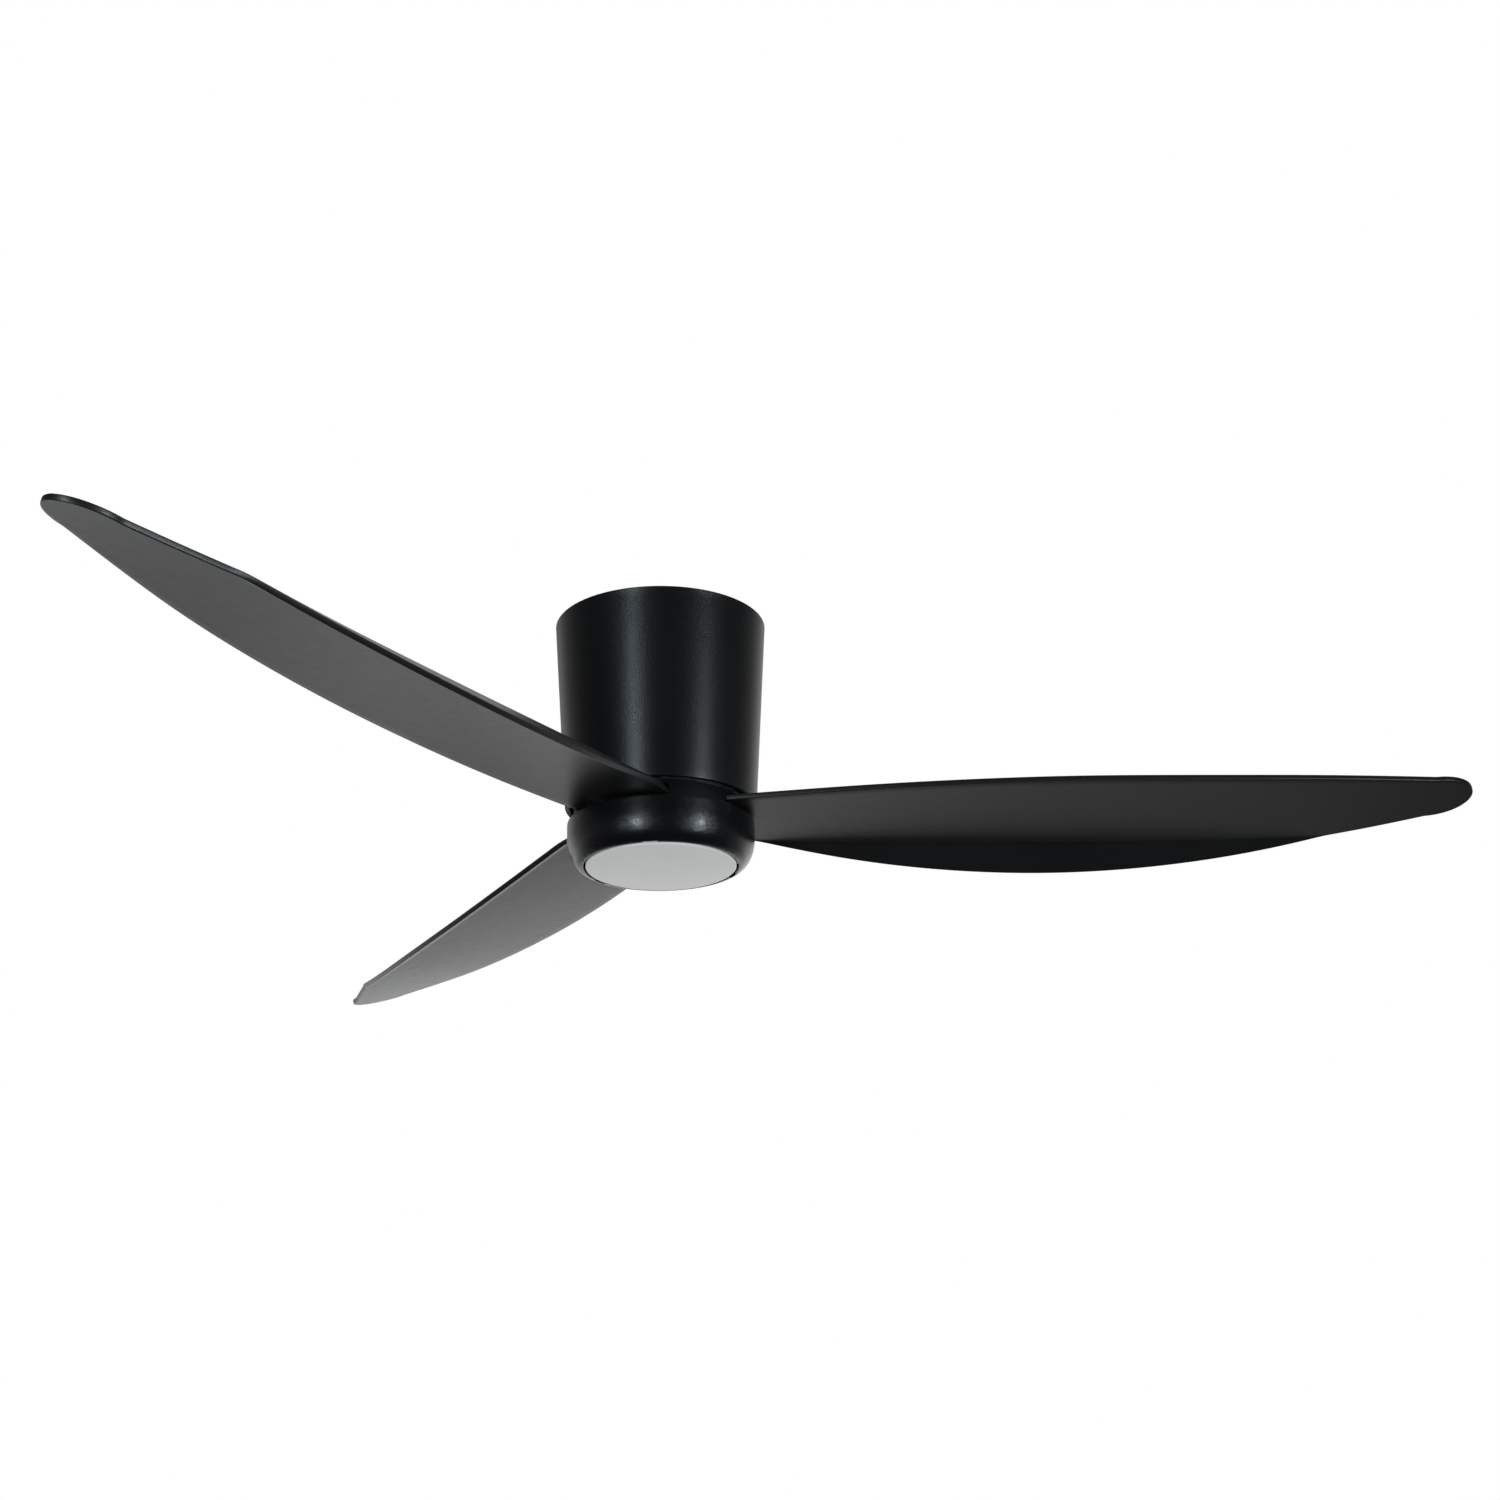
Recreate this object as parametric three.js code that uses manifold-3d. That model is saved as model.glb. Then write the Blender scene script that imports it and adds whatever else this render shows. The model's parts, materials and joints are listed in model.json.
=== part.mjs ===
// Flush-mount ceiling fan with three folded blades and a round light, in millimetres, +Z up.
// The origin is the centre of the ceiling plate's top face, so the whole fan hangs below z = 0.
// Blade 1 points along +X. Angles about the Z axis are in degrees.

import * as THREE from 'three';
import { mergeVertices } from 'three/addons/utils/BufferGeometryUtils.js';
import Module from 'manifold-3d';

const wasm = await Module();
wasm.setup();

// ---------- driving dimensions ----------

const GAP = 0.3;               // clearance kept between touching pieces
const FINE = 48;               // facets round the large turned pieces
const MEDIUM = 24;             // facets round the motor pieces
const SMALL = 12;              // facets round small holes and rollers
const TINY = 8;                // facets round a screw

// ceiling plate and canopy
const PLATE_R = 80;
const PLATE_T = 3;
const CANOPY_TOP_R = 86.6;
const CANOPY_LOW_R = 77.3;
const CANOPY_TOP = -0.5;
const CANOPY_LOW = -158.6;
const CANOPY_WALL = 1.6;
const CANOPY_LIP_R = 73.5;
const CANOPY_SCREW_Z = -11;
const CANOPY_SCREW_ANGLES = [30, 150];
const TAB_ANGLES = [30, 150, 270];
const TAB_OUT = 83.2;
const TAB_T = 2;
const TAB_W = 16;
const TAB_LOW = -18;

// hanger frame between the ceiling plate and the motor shaft
const LEG_X = 50;
const LEG_W = 28;
const STEEL_T = 2.5;
const FLANGE_X = 68;
const ISOLATOR_T = 4;
const HANGER_SCREWS_X = [60, -60];
const HANGER_HOLE_R = 2.8;
const FRAME_BASE_R = 24;
const FRAME_TOP = -PLATE_T - ISOLATOR_T - 2 * GAP;
const FRAME_LOW = -84;

// shaft and bearings
const SHAFT_R = 7.5;
const BORE_R = 4.5;
const SHAFT_TOP = -66;
const SHAFT_LOW = -184;
const BEARING_T = 11;
const BEARING_IN = [7.8, 10.4];
const BEARING_OUT = [14.6, 17.5];
const BALL_R = 1.8;
const BALL_COUNT = 7;
const UPPER_BEARING_LOW = -104;
const LOWER_BEARING_LOW = -157;

// motor
const MOTOR_R = 66;
const STATOR_R = 57.9;
const STATOR_LOW = -139.5;
const STATOR_TOP = -119;
const TEETH = 12;
const COIL_IN = 33;
const COIL_OUT = 53;
const COIL_H = 8.4;

// hub and blade seats
const HUB_R = 70;
const HUB_WALL = 4;
const HUB_TOP = -159.3;
const HUB_PLATE_LOW = -162.4;
const HUB_LOW = -173;
const HUB_BORE_R = 24;
const HUB_SCREW_R = 50;
const SLOT_LEAD = 45.2;
const SLOT_TRAIL = 43.2;

// blades
const BLADE_COUNT = 3;
const BLADE_ANGLES = Array.from({ length: BLADE_COUNT }, (_, i) => i * 360 / BLADE_COUNT);
const BLADE_TIP = 657;
const BLADE_SHOULDER = 50;
const BLADE_T = 4.2;
const TIP_START = 623;
const TIP_OVERRUN = 0.7;
const FOLD_LINE = 47.5;
const FLAP_ROOT_ANGLE = 0.6845;
const FLAP_EASING = 0.00045;   // radians the flap flattens per millimetre outwards
const ROOT_PITCH = 0.033;
const ROOT_Z = -169.3;
const TONGUE = { inner: 24, outer: 53, half: 26 };
const SEAT = { inner: 27, outer: 52, half: 23.5 };
const PAD_T = 1.2;
const CLAMP_T = 1.6;
const BLADE_SCREWS = [[32, 0], [45, 16], [45, -16]];

// light kit
const PAN_R = 75.3;
const PAN_TOP = -172.6;
const PAN_RIM_T = 3;
const PAN_SHOULDER = 1.2;
const PAN_PLATE_TOP = -178;
const PAN_PLATE_T = 1.8;
const PAN_WALL_END = -185;
const PAN_LOW = -208.1;
const PAN_LEDGE_TOP = PAN_LOW + 2.8;
const PAN_MOUTH_R = 62;
const PAN_BORE_R = 18;
const BRACKET_LOW = -177.7;
const BRACKET_T = 2;
const PAN_SCREW_R = 26;
const PAN_SCREW_ANGLES = [30, 150, 270];
const BOARD_Z = -194;
const BOARD_T = 1.6;
const BOARD_R = 55;
const POST_R = 3.6;
const POST_PIN_R = 1.6;
const POST_RING_R = 48;
const POST_ANGLES = [90, 210, 330];
const LED_RING_R = 38;
const LED_COUNT = 12;
const DIFFUSER_R = 60.4;
const DIFFUSER_WALL = 1.8;
const DIFFUSER_LOW = -211;
const DIFFUSER_DOME = [[0, 0], [20, 0.25], [40, 1], [58.9, 2.2]];
const LUG_R = 63.5;
const LUG_W = 10;
const UNLOCK_TURN = 25;

// ---------- finishes ----------

const FINISH = {
  powderBlack: { color: 0x1c1d20, roughness: 0.52, metalness: 0.25 },
  bladeBlack: { color: 0x232427, roughness: 0.6, metalness: 0.0 },
  opal: { color: 0xdedfe0, roughness: 0.45, metalness: 0.0 },
  zincSteel: { color: 0x9a9c9c, roughness: 0.38, metalness: 0.9 },
  polishedSteel: { color: 0xc3c5c7, roughness: 0.2, metalness: 1.0 },
  castAluminium: { color: 0x8f9294, roughness: 0.5, metalness: 0.85 },
  lamination: { color: 0x55575a, roughness: 0.5, metalness: 0.8 },
  copper: { color: 0x9c4f22, roughness: 0.35, metalness: 0.9 },
  magnet: { color: 0x2c2c2e, roughness: 0.7, metalness: 0.3 },
  rubber: { color: 0x18181a, roughness: 0.85, metalness: 0.0 },
  blackScrew: { color: 0x26272a, roughness: 0.4, metalness: 0.7 },
  ivoryPlastic: { color: 0xcfcbbd, roughness: 0.5, metalness: 0.0 },
  darkPlastic: { color: 0x2a2b2e, roughness: 0.55, metalness: 0.0 },
  ledBoard: { color: 0xe6e6e2, roughness: 0.5, metalness: 0.1 },
  cable: { color: 0x30343a, roughness: 0.6, metalness: 0.0 },
};

// ---------- geometry helpers ----------

const radians = THREE.MathUtils.degToRad;

/** A closed three.js geometry as a manifold solid. */
function toSolid(geometry) {
  const bare = geometry.clone();
  bare.deleteAttribute('normal');
  bare.deleteAttribute('uv');
  const merged = mergeVertices(bare, 1e-4);
  const index = merged.index.array;
  const kept = [];
  for (let i = 0; i < index.length; i += 3) {
    const [a, b, c] = [index[i], index[i + 1], index[i + 2]];
    if (a !== b && b !== c && c !== a) kept.push(a, b, c);
  }
  return new wasm.Manifold(new wasm.Mesh({
    numProp: 3,
    vertProperties: new Float32Array(merged.attributes.position.array),
    triVerts: new Uint32Array(kept),
  }));
}

/** A manifold solid as a three.js geometry. */
function toGeometry(solid) {
  const mesh = solid.getMesh();
  const geometry = new THREE.BufferGeometry();
  geometry.setAttribute('position', new THREE.BufferAttribute(mesh.vertProperties, 3));
  geometry.setIndex(new THREE.BufferAttribute(mesh.triVerts, 1));
  geometry.computeVertexNormals();
  return geometry;
}

/** Cuts every tool out of the base. */
function cut(base, tools) {
  return toGeometry(tools.reduce((solid, tool) => solid.subtract(toSolid(tool)), toSolid(base)));
}

/** Joins pieces that overlap into one solid. */
function join(pieces) {
  const [first, ...others] = pieces.map(toSolid);
  return toGeometry(others.reduce((solid, other) => solid.add(other), first));
}

/** Revolves a closed profile of [radius, z] points about Z. */
function revolve(profile, segments = FINE) {
  let area = 0;
  profile.forEach(([r, z], i) => {
    const [nextR, nextZ] = profile[(i + 1) % profile.length];
    area += r * nextZ - nextR * z;
  });
  const ordered = area > 0 ? profile : [...profile].reverse();
  const points = [...ordered, ordered[0]].map(([r, z]) => new THREE.Vector2(r, z));
  return new THREE.LatheGeometry(points, segments).rotateX(Math.PI / 2);
}

/** A plain ring or, with an inner radius of zero, a disc. */
function ring(inner, outer, low, high, segments = FINE) {
  return revolve([[inner, low], [outer, low], [outer, high], [inner, high]], segments);
}

/** An upright round bar standing at x, y. */
function rod(radius, low, high, x = 0, y = 0, segments = SMALL) {
  const bar = new THREE.CylinderGeometry(radius, radius, high - low, segments).rotateX(Math.PI / 2);
  return bar.translate(x, y, (low + high) / 2);
}

/** A box between two corners. */
function block([x0, y0, z0], [x1, y1, z1]) {
  const box = new THREE.BoxGeometry(x1 - x0, y1 - y0, z1 - z0);
  return box.translate((x0 + x1) / 2, (y0 + y1) / 2, (z0 + z1) / 2);
}

/** A box with rounded upright edges. */
function roundedBlock(x0, y0, x1, y1, low, high, corner) {
  const shape = new THREE.Shape();
  shape.moveTo(x0 + corner, y0);
  shape.lineTo(x1 - corner, y0);
  shape.absarc(x1 - corner, y0 + corner, corner, -Math.PI / 2, 0);
  shape.absarc(x1 - corner, y1 - corner, corner, 0, Math.PI / 2);
  shape.absarc(x0 + corner, y1 - corner, corner, Math.PI / 2, Math.PI);
  shape.absarc(x0 + corner, y0 + corner, corner, Math.PI, Math.PI * 1.5);
  const options = { depth: high - low, bevelEnabled: false, curveSegments: 4 };
  return new THREE.ExtrudeGeometry(shape, options).translate(0, 0, low);
}

/** A copy of the geometry turned about Z. */
function turned(geometry, angle) {
  return geometry.clone().rotateZ(radians(angle));
}

/** The x, y of a point at a radius and an angle. */
function polar(radius, angle) {
  return [radius * Math.cos(radians(angle)), radius * Math.sin(radians(angle))];
}

/** A pan-head screw along Z: head below, shank pointing up from z = 0. */
function screw(headR, headH, shankR, shankL) {
  return revolve([
    [0, -headH], [headR * 0.7, -headH], [headR, 0], [shankR, 0], [shankR, shankL], [0, shankL],
  ], TINY);
}

/** A six-sided nut with a round hole. */
function hexNut(cornerR, holeR, low, high) {
  return cut(rod(cornerR, low, high, 0, 0, 6), [rod(holeR, low - 1, high + 1, 0, 0, SMALL)]);
}

/** A round cable along a smooth curve through the stops. */
function cable(stops, radius, steps) {
  const section = new THREE.Shape();
  section.absarc(0, 0, radius, 0, Math.PI * 2);
  const points = stops.map((stop) => new THREE.Vector3(...stop));
  const route = new THREE.CatmullRomCurve3(points, false, 'centripetal');
  return new THREE.ExtrudeGeometry(section, { extrudePath: route, steps, curveSegments: 3 });
}

/** A smooth value along the blade, through [radius, value] stations. */
function alongBlade(stations) {
  const radii = new Float32Array(stations.map(([r]) => r));
  const values = new Float32Array(stations.map(([, value]) => value));
  const curve = new THREE.CubicInterpolant(radii, values, 1);
  return (r) => curve.evaluate(THREE.MathUtils.clamp(r, radii[0], radii[radii.length - 1]))[0];
}

// ---------- the assembly and its parts ----------

const fan = new THREE.Group();

/** Adds one named part to a group, with a material of its own. */
function addPart(name, geometry, finish, parent = fan) {
  const mesh = new THREE.Mesh(geometry, new THREE.MeshStandardMaterial(FINISH[finish]));
  mesh.name = name;
  parent.add(mesh);
  return mesh;
}

// ---------- ceiling plate and canopy ----------

/** Round steel plate with three turned-down tabs; its centre is left solid. */
function ceilingPlate() {
  const tabs = TAB_ANGLES.flatMap((angle) => [
    turned(block([PLATE_R - 8, -TAB_W / 2, -PLATE_T], [TAB_OUT, TAB_W / 2, 0]), angle),
    turned(block([TAB_OUT - TAB_T, -TAB_W / 2, TAB_LOW], [TAB_OUT, TAB_W / 2, -PLATE_T / 2]), angle),
  ]);
  const slots = [62, -62].map((y) => roundedBlock(-11, y - 3, 11, y + 3, -PLATE_T - 1, 1, 2.9));
  const cableHole = rod(9, -PLATE_T - 1, 1, -38, 30);
  const hangerHoles = HANGER_SCREWS_X.map((x) => rod(HANGER_HOLE_R, -PLATE_T - 1, 1, x, 0, TINY));
  const tabHoles = CANOPY_SCREW_ANGLES.map((angle) => radialHole(2.4, 70, 95, CANOPY_SCREW_Z, angle));
  const plate = join([ring(0, PLATE_R, -PLATE_T, 0), ...tabs]);
  return cut(plate, [...slots, cableHole, ...hangerHoles, ...tabHoles]);
}

/** A round bar lying along a radius, used to drill side holes. */
function radialHole(radius, inner, outer, z, angle) {
  const bar = rod(radius, inner, outer, 0, 0, TINY).rotateY(Math.PI / 2);
  return turned(bar.translate(0, 0, z), angle);
}

/** Tapered tube, open at both ends, with a small inward lip at the bottom. */
function canopyShell() {
  const shell = revolve([
    [CANOPY_TOP_R, CANOPY_TOP], [CANOPY_LOW_R, CANOPY_LOW], [CANOPY_LIP_R, CANOPY_LOW],
    [CANOPY_LIP_R, CANOPY_LOW + CANOPY_WALL], [CANOPY_LOW_R - CANOPY_WALL, CANOPY_LOW + CANOPY_WALL],
    [CANOPY_TOP_R - CANOPY_WALL, CANOPY_TOP],
  ]);
  return cut(shell, CANOPY_SCREW_ANGLES.map((angle) => radialHole(2.6, 70, 95, CANOPY_SCREW_Z, angle)));
}

/** Outer radius of the canopy at a height. */
function canopyRadius(z) {
  return THREE.MathUtils.mapLinear(z, CANOPY_TOP, CANOPY_LOW, CANOPY_TOP_R, CANOPY_LOW_R);
}

addPart('ceiling_plate', ceilingPlate(), 'zincSteel');
addPart('canopy_shell', canopyShell(), 'powderBlack');
CANOPY_SCREW_ANGLES.forEach((angle, i) => {
  const seat = canopyRadius(CANOPY_SCREW_Z) + GAP;
  const body = screw(4, 2, 2, 9).rotateY(-Math.PI / 2).translate(seat, 0, CANOPY_SCREW_Z);
  addPart(`canopy_screw_${i + 1}`, turned(body, angle), 'blackScrew');
});

// ---------- hanger frame ----------

/** U-shaped steel frame: two flanges, two legs and the base that holds the shaft. */
function hangerFrame() {
  const half = LEG_W / 2;
  const pieces = [block([-LEG_X, -half, FRAME_LOW], [LEG_X, half, FRAME_LOW + STEEL_T])];
  pieces.push(ring(0, FRAME_BASE_R, FRAME_LOW, FRAME_LOW + STEEL_T, MEDIUM));
  [0, 180].forEach((angle) => {
    pieces.push(turned(block([LEG_X - STEEL_T, -half, FRAME_LOW], [LEG_X, half, FRAME_TOP]), angle));
    const flange = block([LEG_X - STEEL_T, -half, FRAME_TOP - STEEL_T], [FLANGE_X, half, FRAME_TOP]);
    pieces.push(turned(flange, angle));
  });
  const holes = HANGER_SCREWS_X.map(
    (x) => rod(HANGER_HOLE_R, FRAME_TOP - STEEL_T - 1, FRAME_TOP + 1, x, 0, TINY),
  );
  holes.push(rod(SHAFT_R + GAP, FRAME_LOW - 1, FRAME_LOW + STEEL_T + 1, 0, 0, MEDIUM));
  return cut(join(pieces), holes);
}

addPart('hanger_frame', hangerFrame(), 'zincSteel');
HANGER_SCREWS_X.forEach((x, i) => {
  const low = -PLATE_T - GAP - ISOLATOR_T;
  const isolator = ring(HANGER_HOLE_R, 7.5, low, -PLATE_T - GAP, SMALL).translate(x, 0, 0);
  addPart(`hanger_isolator_${i + 1}`, isolator, 'rubber');
  const bolt = screw(4.6, 3, 2.4, 9.5).translate(x, 0, FRAME_TOP - STEEL_T - GAP);
  addPart(`hanger_screw_${i + 1}`, bolt, 'zincSteel');
});

// ---------- wiring inside the canopy ----------

const RECEIVER = { x: 35, yLow: -45, yHigh: -12, low: -28, corner: 4 };
const BLOCK = { x: 20, yLow: 20, yHigh: 38, low: -18 };
const UNDER_PLATE = -PLATE_T - GAP;

/** Terminal block with three wire mouths on one side. */
function terminalBlock() {
  const body = block([-BLOCK.x, BLOCK.yLow, BLOCK.low], [BLOCK.x, BLOCK.yHigh, UNDER_PLATE]);
  const mouths = [-12, 0, 12].map((x) => rod(2.6, 0, 8, 0, 0, TINY).rotateX(-Math.PI / 2)
    .translate(x, BLOCK.yHigh - 6, -10));
  return cut(body, mouths);
}

addPart('receiver_box', roundedBlock(
  -RECEIVER.x, RECEIVER.yLow, RECEIVER.x, RECEIVER.yHigh, RECEIVER.low, UNDER_PLATE, RECEIVER.corner,
), 'darkPlastic');
addPart('terminal_block', terminalBlock(), 'ivoryPlastic');
const BLOCK_EXIT = BLOCK.low - 2 * GAP;
const RECEIVER_EXIT = RECEIVER.low - 2 * GAP;

addPart('supply_lead', cable([
  [14, 29, BLOCK_EXIT], [14, 29, BLOCK_EXIT - 8], [14, 18, -42], [14, -18, -46],
  [14, -29, RECEIVER_EXIT - 8], [14, -29, RECEIVER_EXIT],
], 2.2, 14), 'cable');
addPart('motor_lead', cable([
  [-14, -29, RECEIVER_EXIT], [-14, -29, RECEIVER_EXIT - 8], [-6, -10, -54], [-2.2, 0, -66],
  [-2.2, 0, -88], [-2.2, 0, -104], [-5, 0, -111.5], [-14, 0, -114], [-COIL_IN + 1, 0, -114.5],
], 1.3, 26), 'cable');
addPart('light_lead', cable([
  [2, -29, RECEIVER_EXIT], [2, -29, RECEIVER_EXIT - 8], [2.2, -10, -56], [2.2, 0, -68], [2.2, 0, -100],
  [2.2, 0, -140], [2.2, 0, -180], [2.2, 3, -188], [2.2, 11, -189], [2.2, 17.1, -184.5],
], 1.3, 34), 'cable');

// ---------- shaft ----------

/** Hollow fixed shaft with a collar at each end and a side window for the motor lead. */
function motorShaft() {
  const collar = FRAME_LOW - GAP;
  const lowCollar = BRACKET_LOW + BRACKET_T + GAP;
  const body = revolve([
    [BORE_R, SHAFT_TOP], [SHAFT_R, SHAFT_TOP], [SHAFT_R, collar], [11, collar], [11, collar - 3],
    [SHAFT_R, collar - 3], [SHAFT_R, lowCollar + 3], [10, lowCollar + 3], [10, lowCollar],
    [SHAFT_R, lowCollar], [SHAFT_R, SHAFT_LOW], [BORE_R, SHAFT_LOW],
  ], MEDIUM);
  return cut(body, [block([-9, -2.4, -117], [-2.5, 2.4, -106])]);
}

addPart('motor_shaft', motorShaft(), 'polishedSteel');
const frameFloor = FRAME_LOW + STEEL_T + GAP;
addPart('shaft_nut', hexNut(13, SHAFT_R + GAP, frameFloor, frameFloor + 7), 'zincSteel');

// ---------- stator ----------

/** Laminated stator: a yoke with T-shaped teeth pointing outwards. */
function statorCore() {
  const pieces = [ring(SHAFT_R + GAP, 30, STATOR_LOW, STATOR_TOP, MEDIUM)];
  const shoe = Math.PI * 2 * STATOR_R / TEETH * 0.4;
  for (let i = 0; i < TEETH; i += 1) {
    const angle = i * 360 / TEETH;
    pieces.push(turned(block([28, -4, STATOR_LOW], [STATOR_R - 3, 4, STATOR_TOP]), angle));
    const tip = block([STATOR_R - 4, -shoe, STATOR_LOW], [STATOR_R - 0.8, shoe, STATOR_TOP]);
    pieces.push(turned(tip, angle));
  }
  const round = toSolid(ring(SHAFT_R + GAP, STATOR_R, STATOR_LOW, STATOR_TOP, FINE));
  return toGeometry(round.intersect(toSolid(join(pieces))));
}

/** Copper end turns: a ring with one lobe over each tooth. */
function endTurns(low) {
  const lobes = [];
  for (let i = 0; i < TEETH; i += 1) {
    const lobe = new THREE.CylinderGeometry(7.4, 8.2, COIL_H, 6).rotateX(Math.PI / 2);
    lobe.translate((COIL_IN + COIL_OUT) / 2 + 1, 0, low + COIL_H / 2);
    lobes.push(turned(lobe, i * 360 / TEETH));
  }
  return join([ring(COIL_IN + 3, COIL_OUT - 4, low, low + COIL_H - 1.5, MEDIUM), ...lobes]);
}

addPart('stator_core', statorCore(), 'lamination');
addPart('winding_upper', endTurns(STATOR_TOP + GAP), 'copper');
addPart('winding_lower', endTurns(STATOR_LOW - GAP - COIL_H), 'copper');

// ---------- bearings ----------

/** Ball cage: a thin ring joined to its balls. */
function ballCage(low) {
  const middle = (BEARING_IN[1] + BEARING_OUT[0]) / 2;
  const centre = low + BEARING_T / 2;
  const pieces = [ring(middle - 0.9, middle + 0.9, centre - 2.4, centre - 0.6, MEDIUM)];
  for (let i = 0; i < BALL_COUNT; i += 1) {
    const ball = new THREE.SphereGeometry(BALL_R, 6, 4).translate(middle, 0, centre);
    pieces.push(turned(ball, i * 360 / BALL_COUNT));
  }
  return join(pieces);
}

[['upper', UPPER_BEARING_LOW], ['lower', LOWER_BEARING_LOW]].forEach(([place, low]) => {
  const top = low + BEARING_T;
  addPart(`${place}_bearing_inner`, ring(...BEARING_IN, low, top, MEDIUM), 'polishedSteel');
  addPart(`${place}_bearing_outer`, ring(...BEARING_OUT, low, top, MEDIUM), 'polishedSteel');
  addPart(`${place}_ball_cage`, ballCage(low), 'polishedSteel');
});

// ---------- motor housing ----------

const UPPER_BEARING_TOP = UPPER_BEARING_LOW + BEARING_T;
const POCKET_R = BEARING_OUT[1] + GAP;
const WALL_IN = 62.5;
const UPPER_JOINT = -117;
const LOWER_JOINT = -141.6;

const motorTop = revolve([
  [10, UPPER_BEARING_TOP + GAP], [POCKET_R, UPPER_BEARING_TOP + GAP], [POCKET_R, -105.5], [22, -107],
  [58, -108], [WALL_IN, -111], [WALL_IN, UPPER_JOINT], [MOTOR_R, UPPER_JOINT], [MOTOR_R, -109],
  [61, -104.5], [24, -102], [22, -91.2], [10, -91.2],
], MEDIUM);
const motorBottom = revolve([
  [12, HUB_TOP + GAP], [60, HUB_TOP + GAP], [MOTOR_R, -154], [MOTOR_R, LOWER_JOINT],
  [WALL_IN, LOWER_JOINT], [WALL_IN, -152], [58, -155.5], [22, -155.5], [22, -146], [POCKET_R, -146],
  [POCKET_R, LOWER_BEARING_LOW - GAP], [12, LOWER_BEARING_LOW - GAP],
], MEDIUM);
const hubScrewAngles = BLADE_ANGLES.map((angle) => angle + 180 / BLADE_COUNT);
const hubScrewHoles = hubScrewAngles.map((angle) => rod(2.3, HUB_PLATE_LOW - 1, HUB_TOP + 5,
  ...polar(HUB_SCREW_R, angle), TINY));

addPart('motor_cover_upper', motorTop, 'castAluminium');
addPart('motor_cover_lower', cut(motorBottom, hubScrewHoles), 'castAluminium');
addPart('rotor_back_iron', ring(62, MOTOR_R, LOWER_JOINT + GAP, UPPER_JOINT - GAP, MEDIUM), 'lamination');
addPart('magnet_ring', ring(58.6, 61.6, -140, -118.6, MEDIUM), 'magnet');

// ---------- blade hub ----------

/** The matrix of a blade's seat: the arm frame tilted by the root pitch. */
function seatMatrix() {
  return new THREE.Matrix4().makeRotationX(-ROOT_PITCH).setPosition(0, 0, ROOT_Z);
}

/** Upright rods at the blade screws, tilted with the blade's seat. */
function bladeScrewHoles(radius) {
  return BLADE_SCREWS.map(([x, y]) => rod(radius, -14, 14, x, y, TINY).applyMatrix4(seatMatrix()));
}

/** Drum with a flat top plate and three wide slots for the blade roots. */
function bladeHub() {
  const drum = revolve([
    [HUB_BORE_R, HUB_TOP], [HUB_R, HUB_TOP], [HUB_R, HUB_LOW], [HUB_R - HUB_WALL, HUB_LOW],
    [HUB_R - HUB_WALL, HUB_PLATE_LOW], [HUB_BORE_R, HUB_PLATE_LOW],
  ]);
  const tools = BLADE_ANGLES.flatMap((angle) => [
    turned(block([20, -SLOT_LEAD, HUB_LOW - 1], [HUB_R + 5, SLOT_TRAIL, HUB_PLATE_LOW]), angle),
    ...bladeScrewHoles(2.3).map((hole) => turned(hole, angle)),
  ]);
  return cut(drum, [...tools, ...hubScrewHoles]);
}

addPart('blade_hub', bladeHub(), 'powderBlack');
hubScrewAngles.forEach((angle, i) => {
  const body = screw(4, 2.6, 2, 6).translate(...polar(HUB_SCREW_R, angle), HUB_PLATE_LOW - GAP);
  addPart(`hub_screw_${i + 1}`, body, 'zincSteel');
});

// ---------- blades ----------

// Distance of the leading and trailing edges from the blade's radial line, its height and its pitch.
const leadEdge = alongBlade([
  [50, 43.4], [150, 56.4], [240, 62.7], [330, 63.4], [420, 57.9], [510, 47.3], [TIP_START, 25.5],
]);
const trailEdge = alongBlade([
  [50, 41.3], [150, 64], [240, 75.6], [330, 78.1], [420, 71], [510, 55.3], [TIP_START, 26.4],
]);
const midHeight = alongBlade([
  [50, ROOT_Z], [200, -171.4], [350, -172.7], [500, -171.2], [BLADE_TIP, -161.9],
]);
const bladePitch = alongBlade([[50, ROOT_PITCH], [250, 0.1], [450, 0.162], [BLADE_TIP, 0.262]]);
const MAIN_COLUMNS = 5;
const FLAP_COLUMNS = 2;
const BLADE_ROWS = 25;

/** How far the edges draw in towards the rounded tip, from 1 down to nearly 0. */
function tipTaper(r) {
  const t = Math.max(0, (r - TIP_START) / (BLADE_TIP + TIP_OVERRUN - TIP_START));
  return Math.sqrt(1 - t * t);
}

/** Angle of the folded trailing flap below the main panel. */
function flapAngle(r) {
  return FLAP_ROOT_ANGLE - FLAP_EASING * (r - BLADE_SHOULDER);
}

/** A point of the blade in its arm's frame: across is the distance behind the radial line. */
function bladePoint(r, across, height) {
  const pitch = bladePitch(r);
  const flat = Math.min(across, FOLD_LINE);
  const beyond = Math.max(across - FOLD_LINE, 0);
  const slope = pitch + flapAngle(r);
  const atFold = Math.abs(across - FOLD_LINE) < 1e-6;
  const lean = atFold ? (pitch + slope) / 2 : (beyond > 0 ? slope : pitch);
  const y = flat * Math.cos(pitch) + beyond * Math.cos(slope) + height * Math.sin(lean);
  const z = midHeight(r) - flat * Math.sin(pitch) - beyond * Math.sin(slope) + height * Math.cos(lean);
  return new THREE.Vector3(r, y, z);
}

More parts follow.
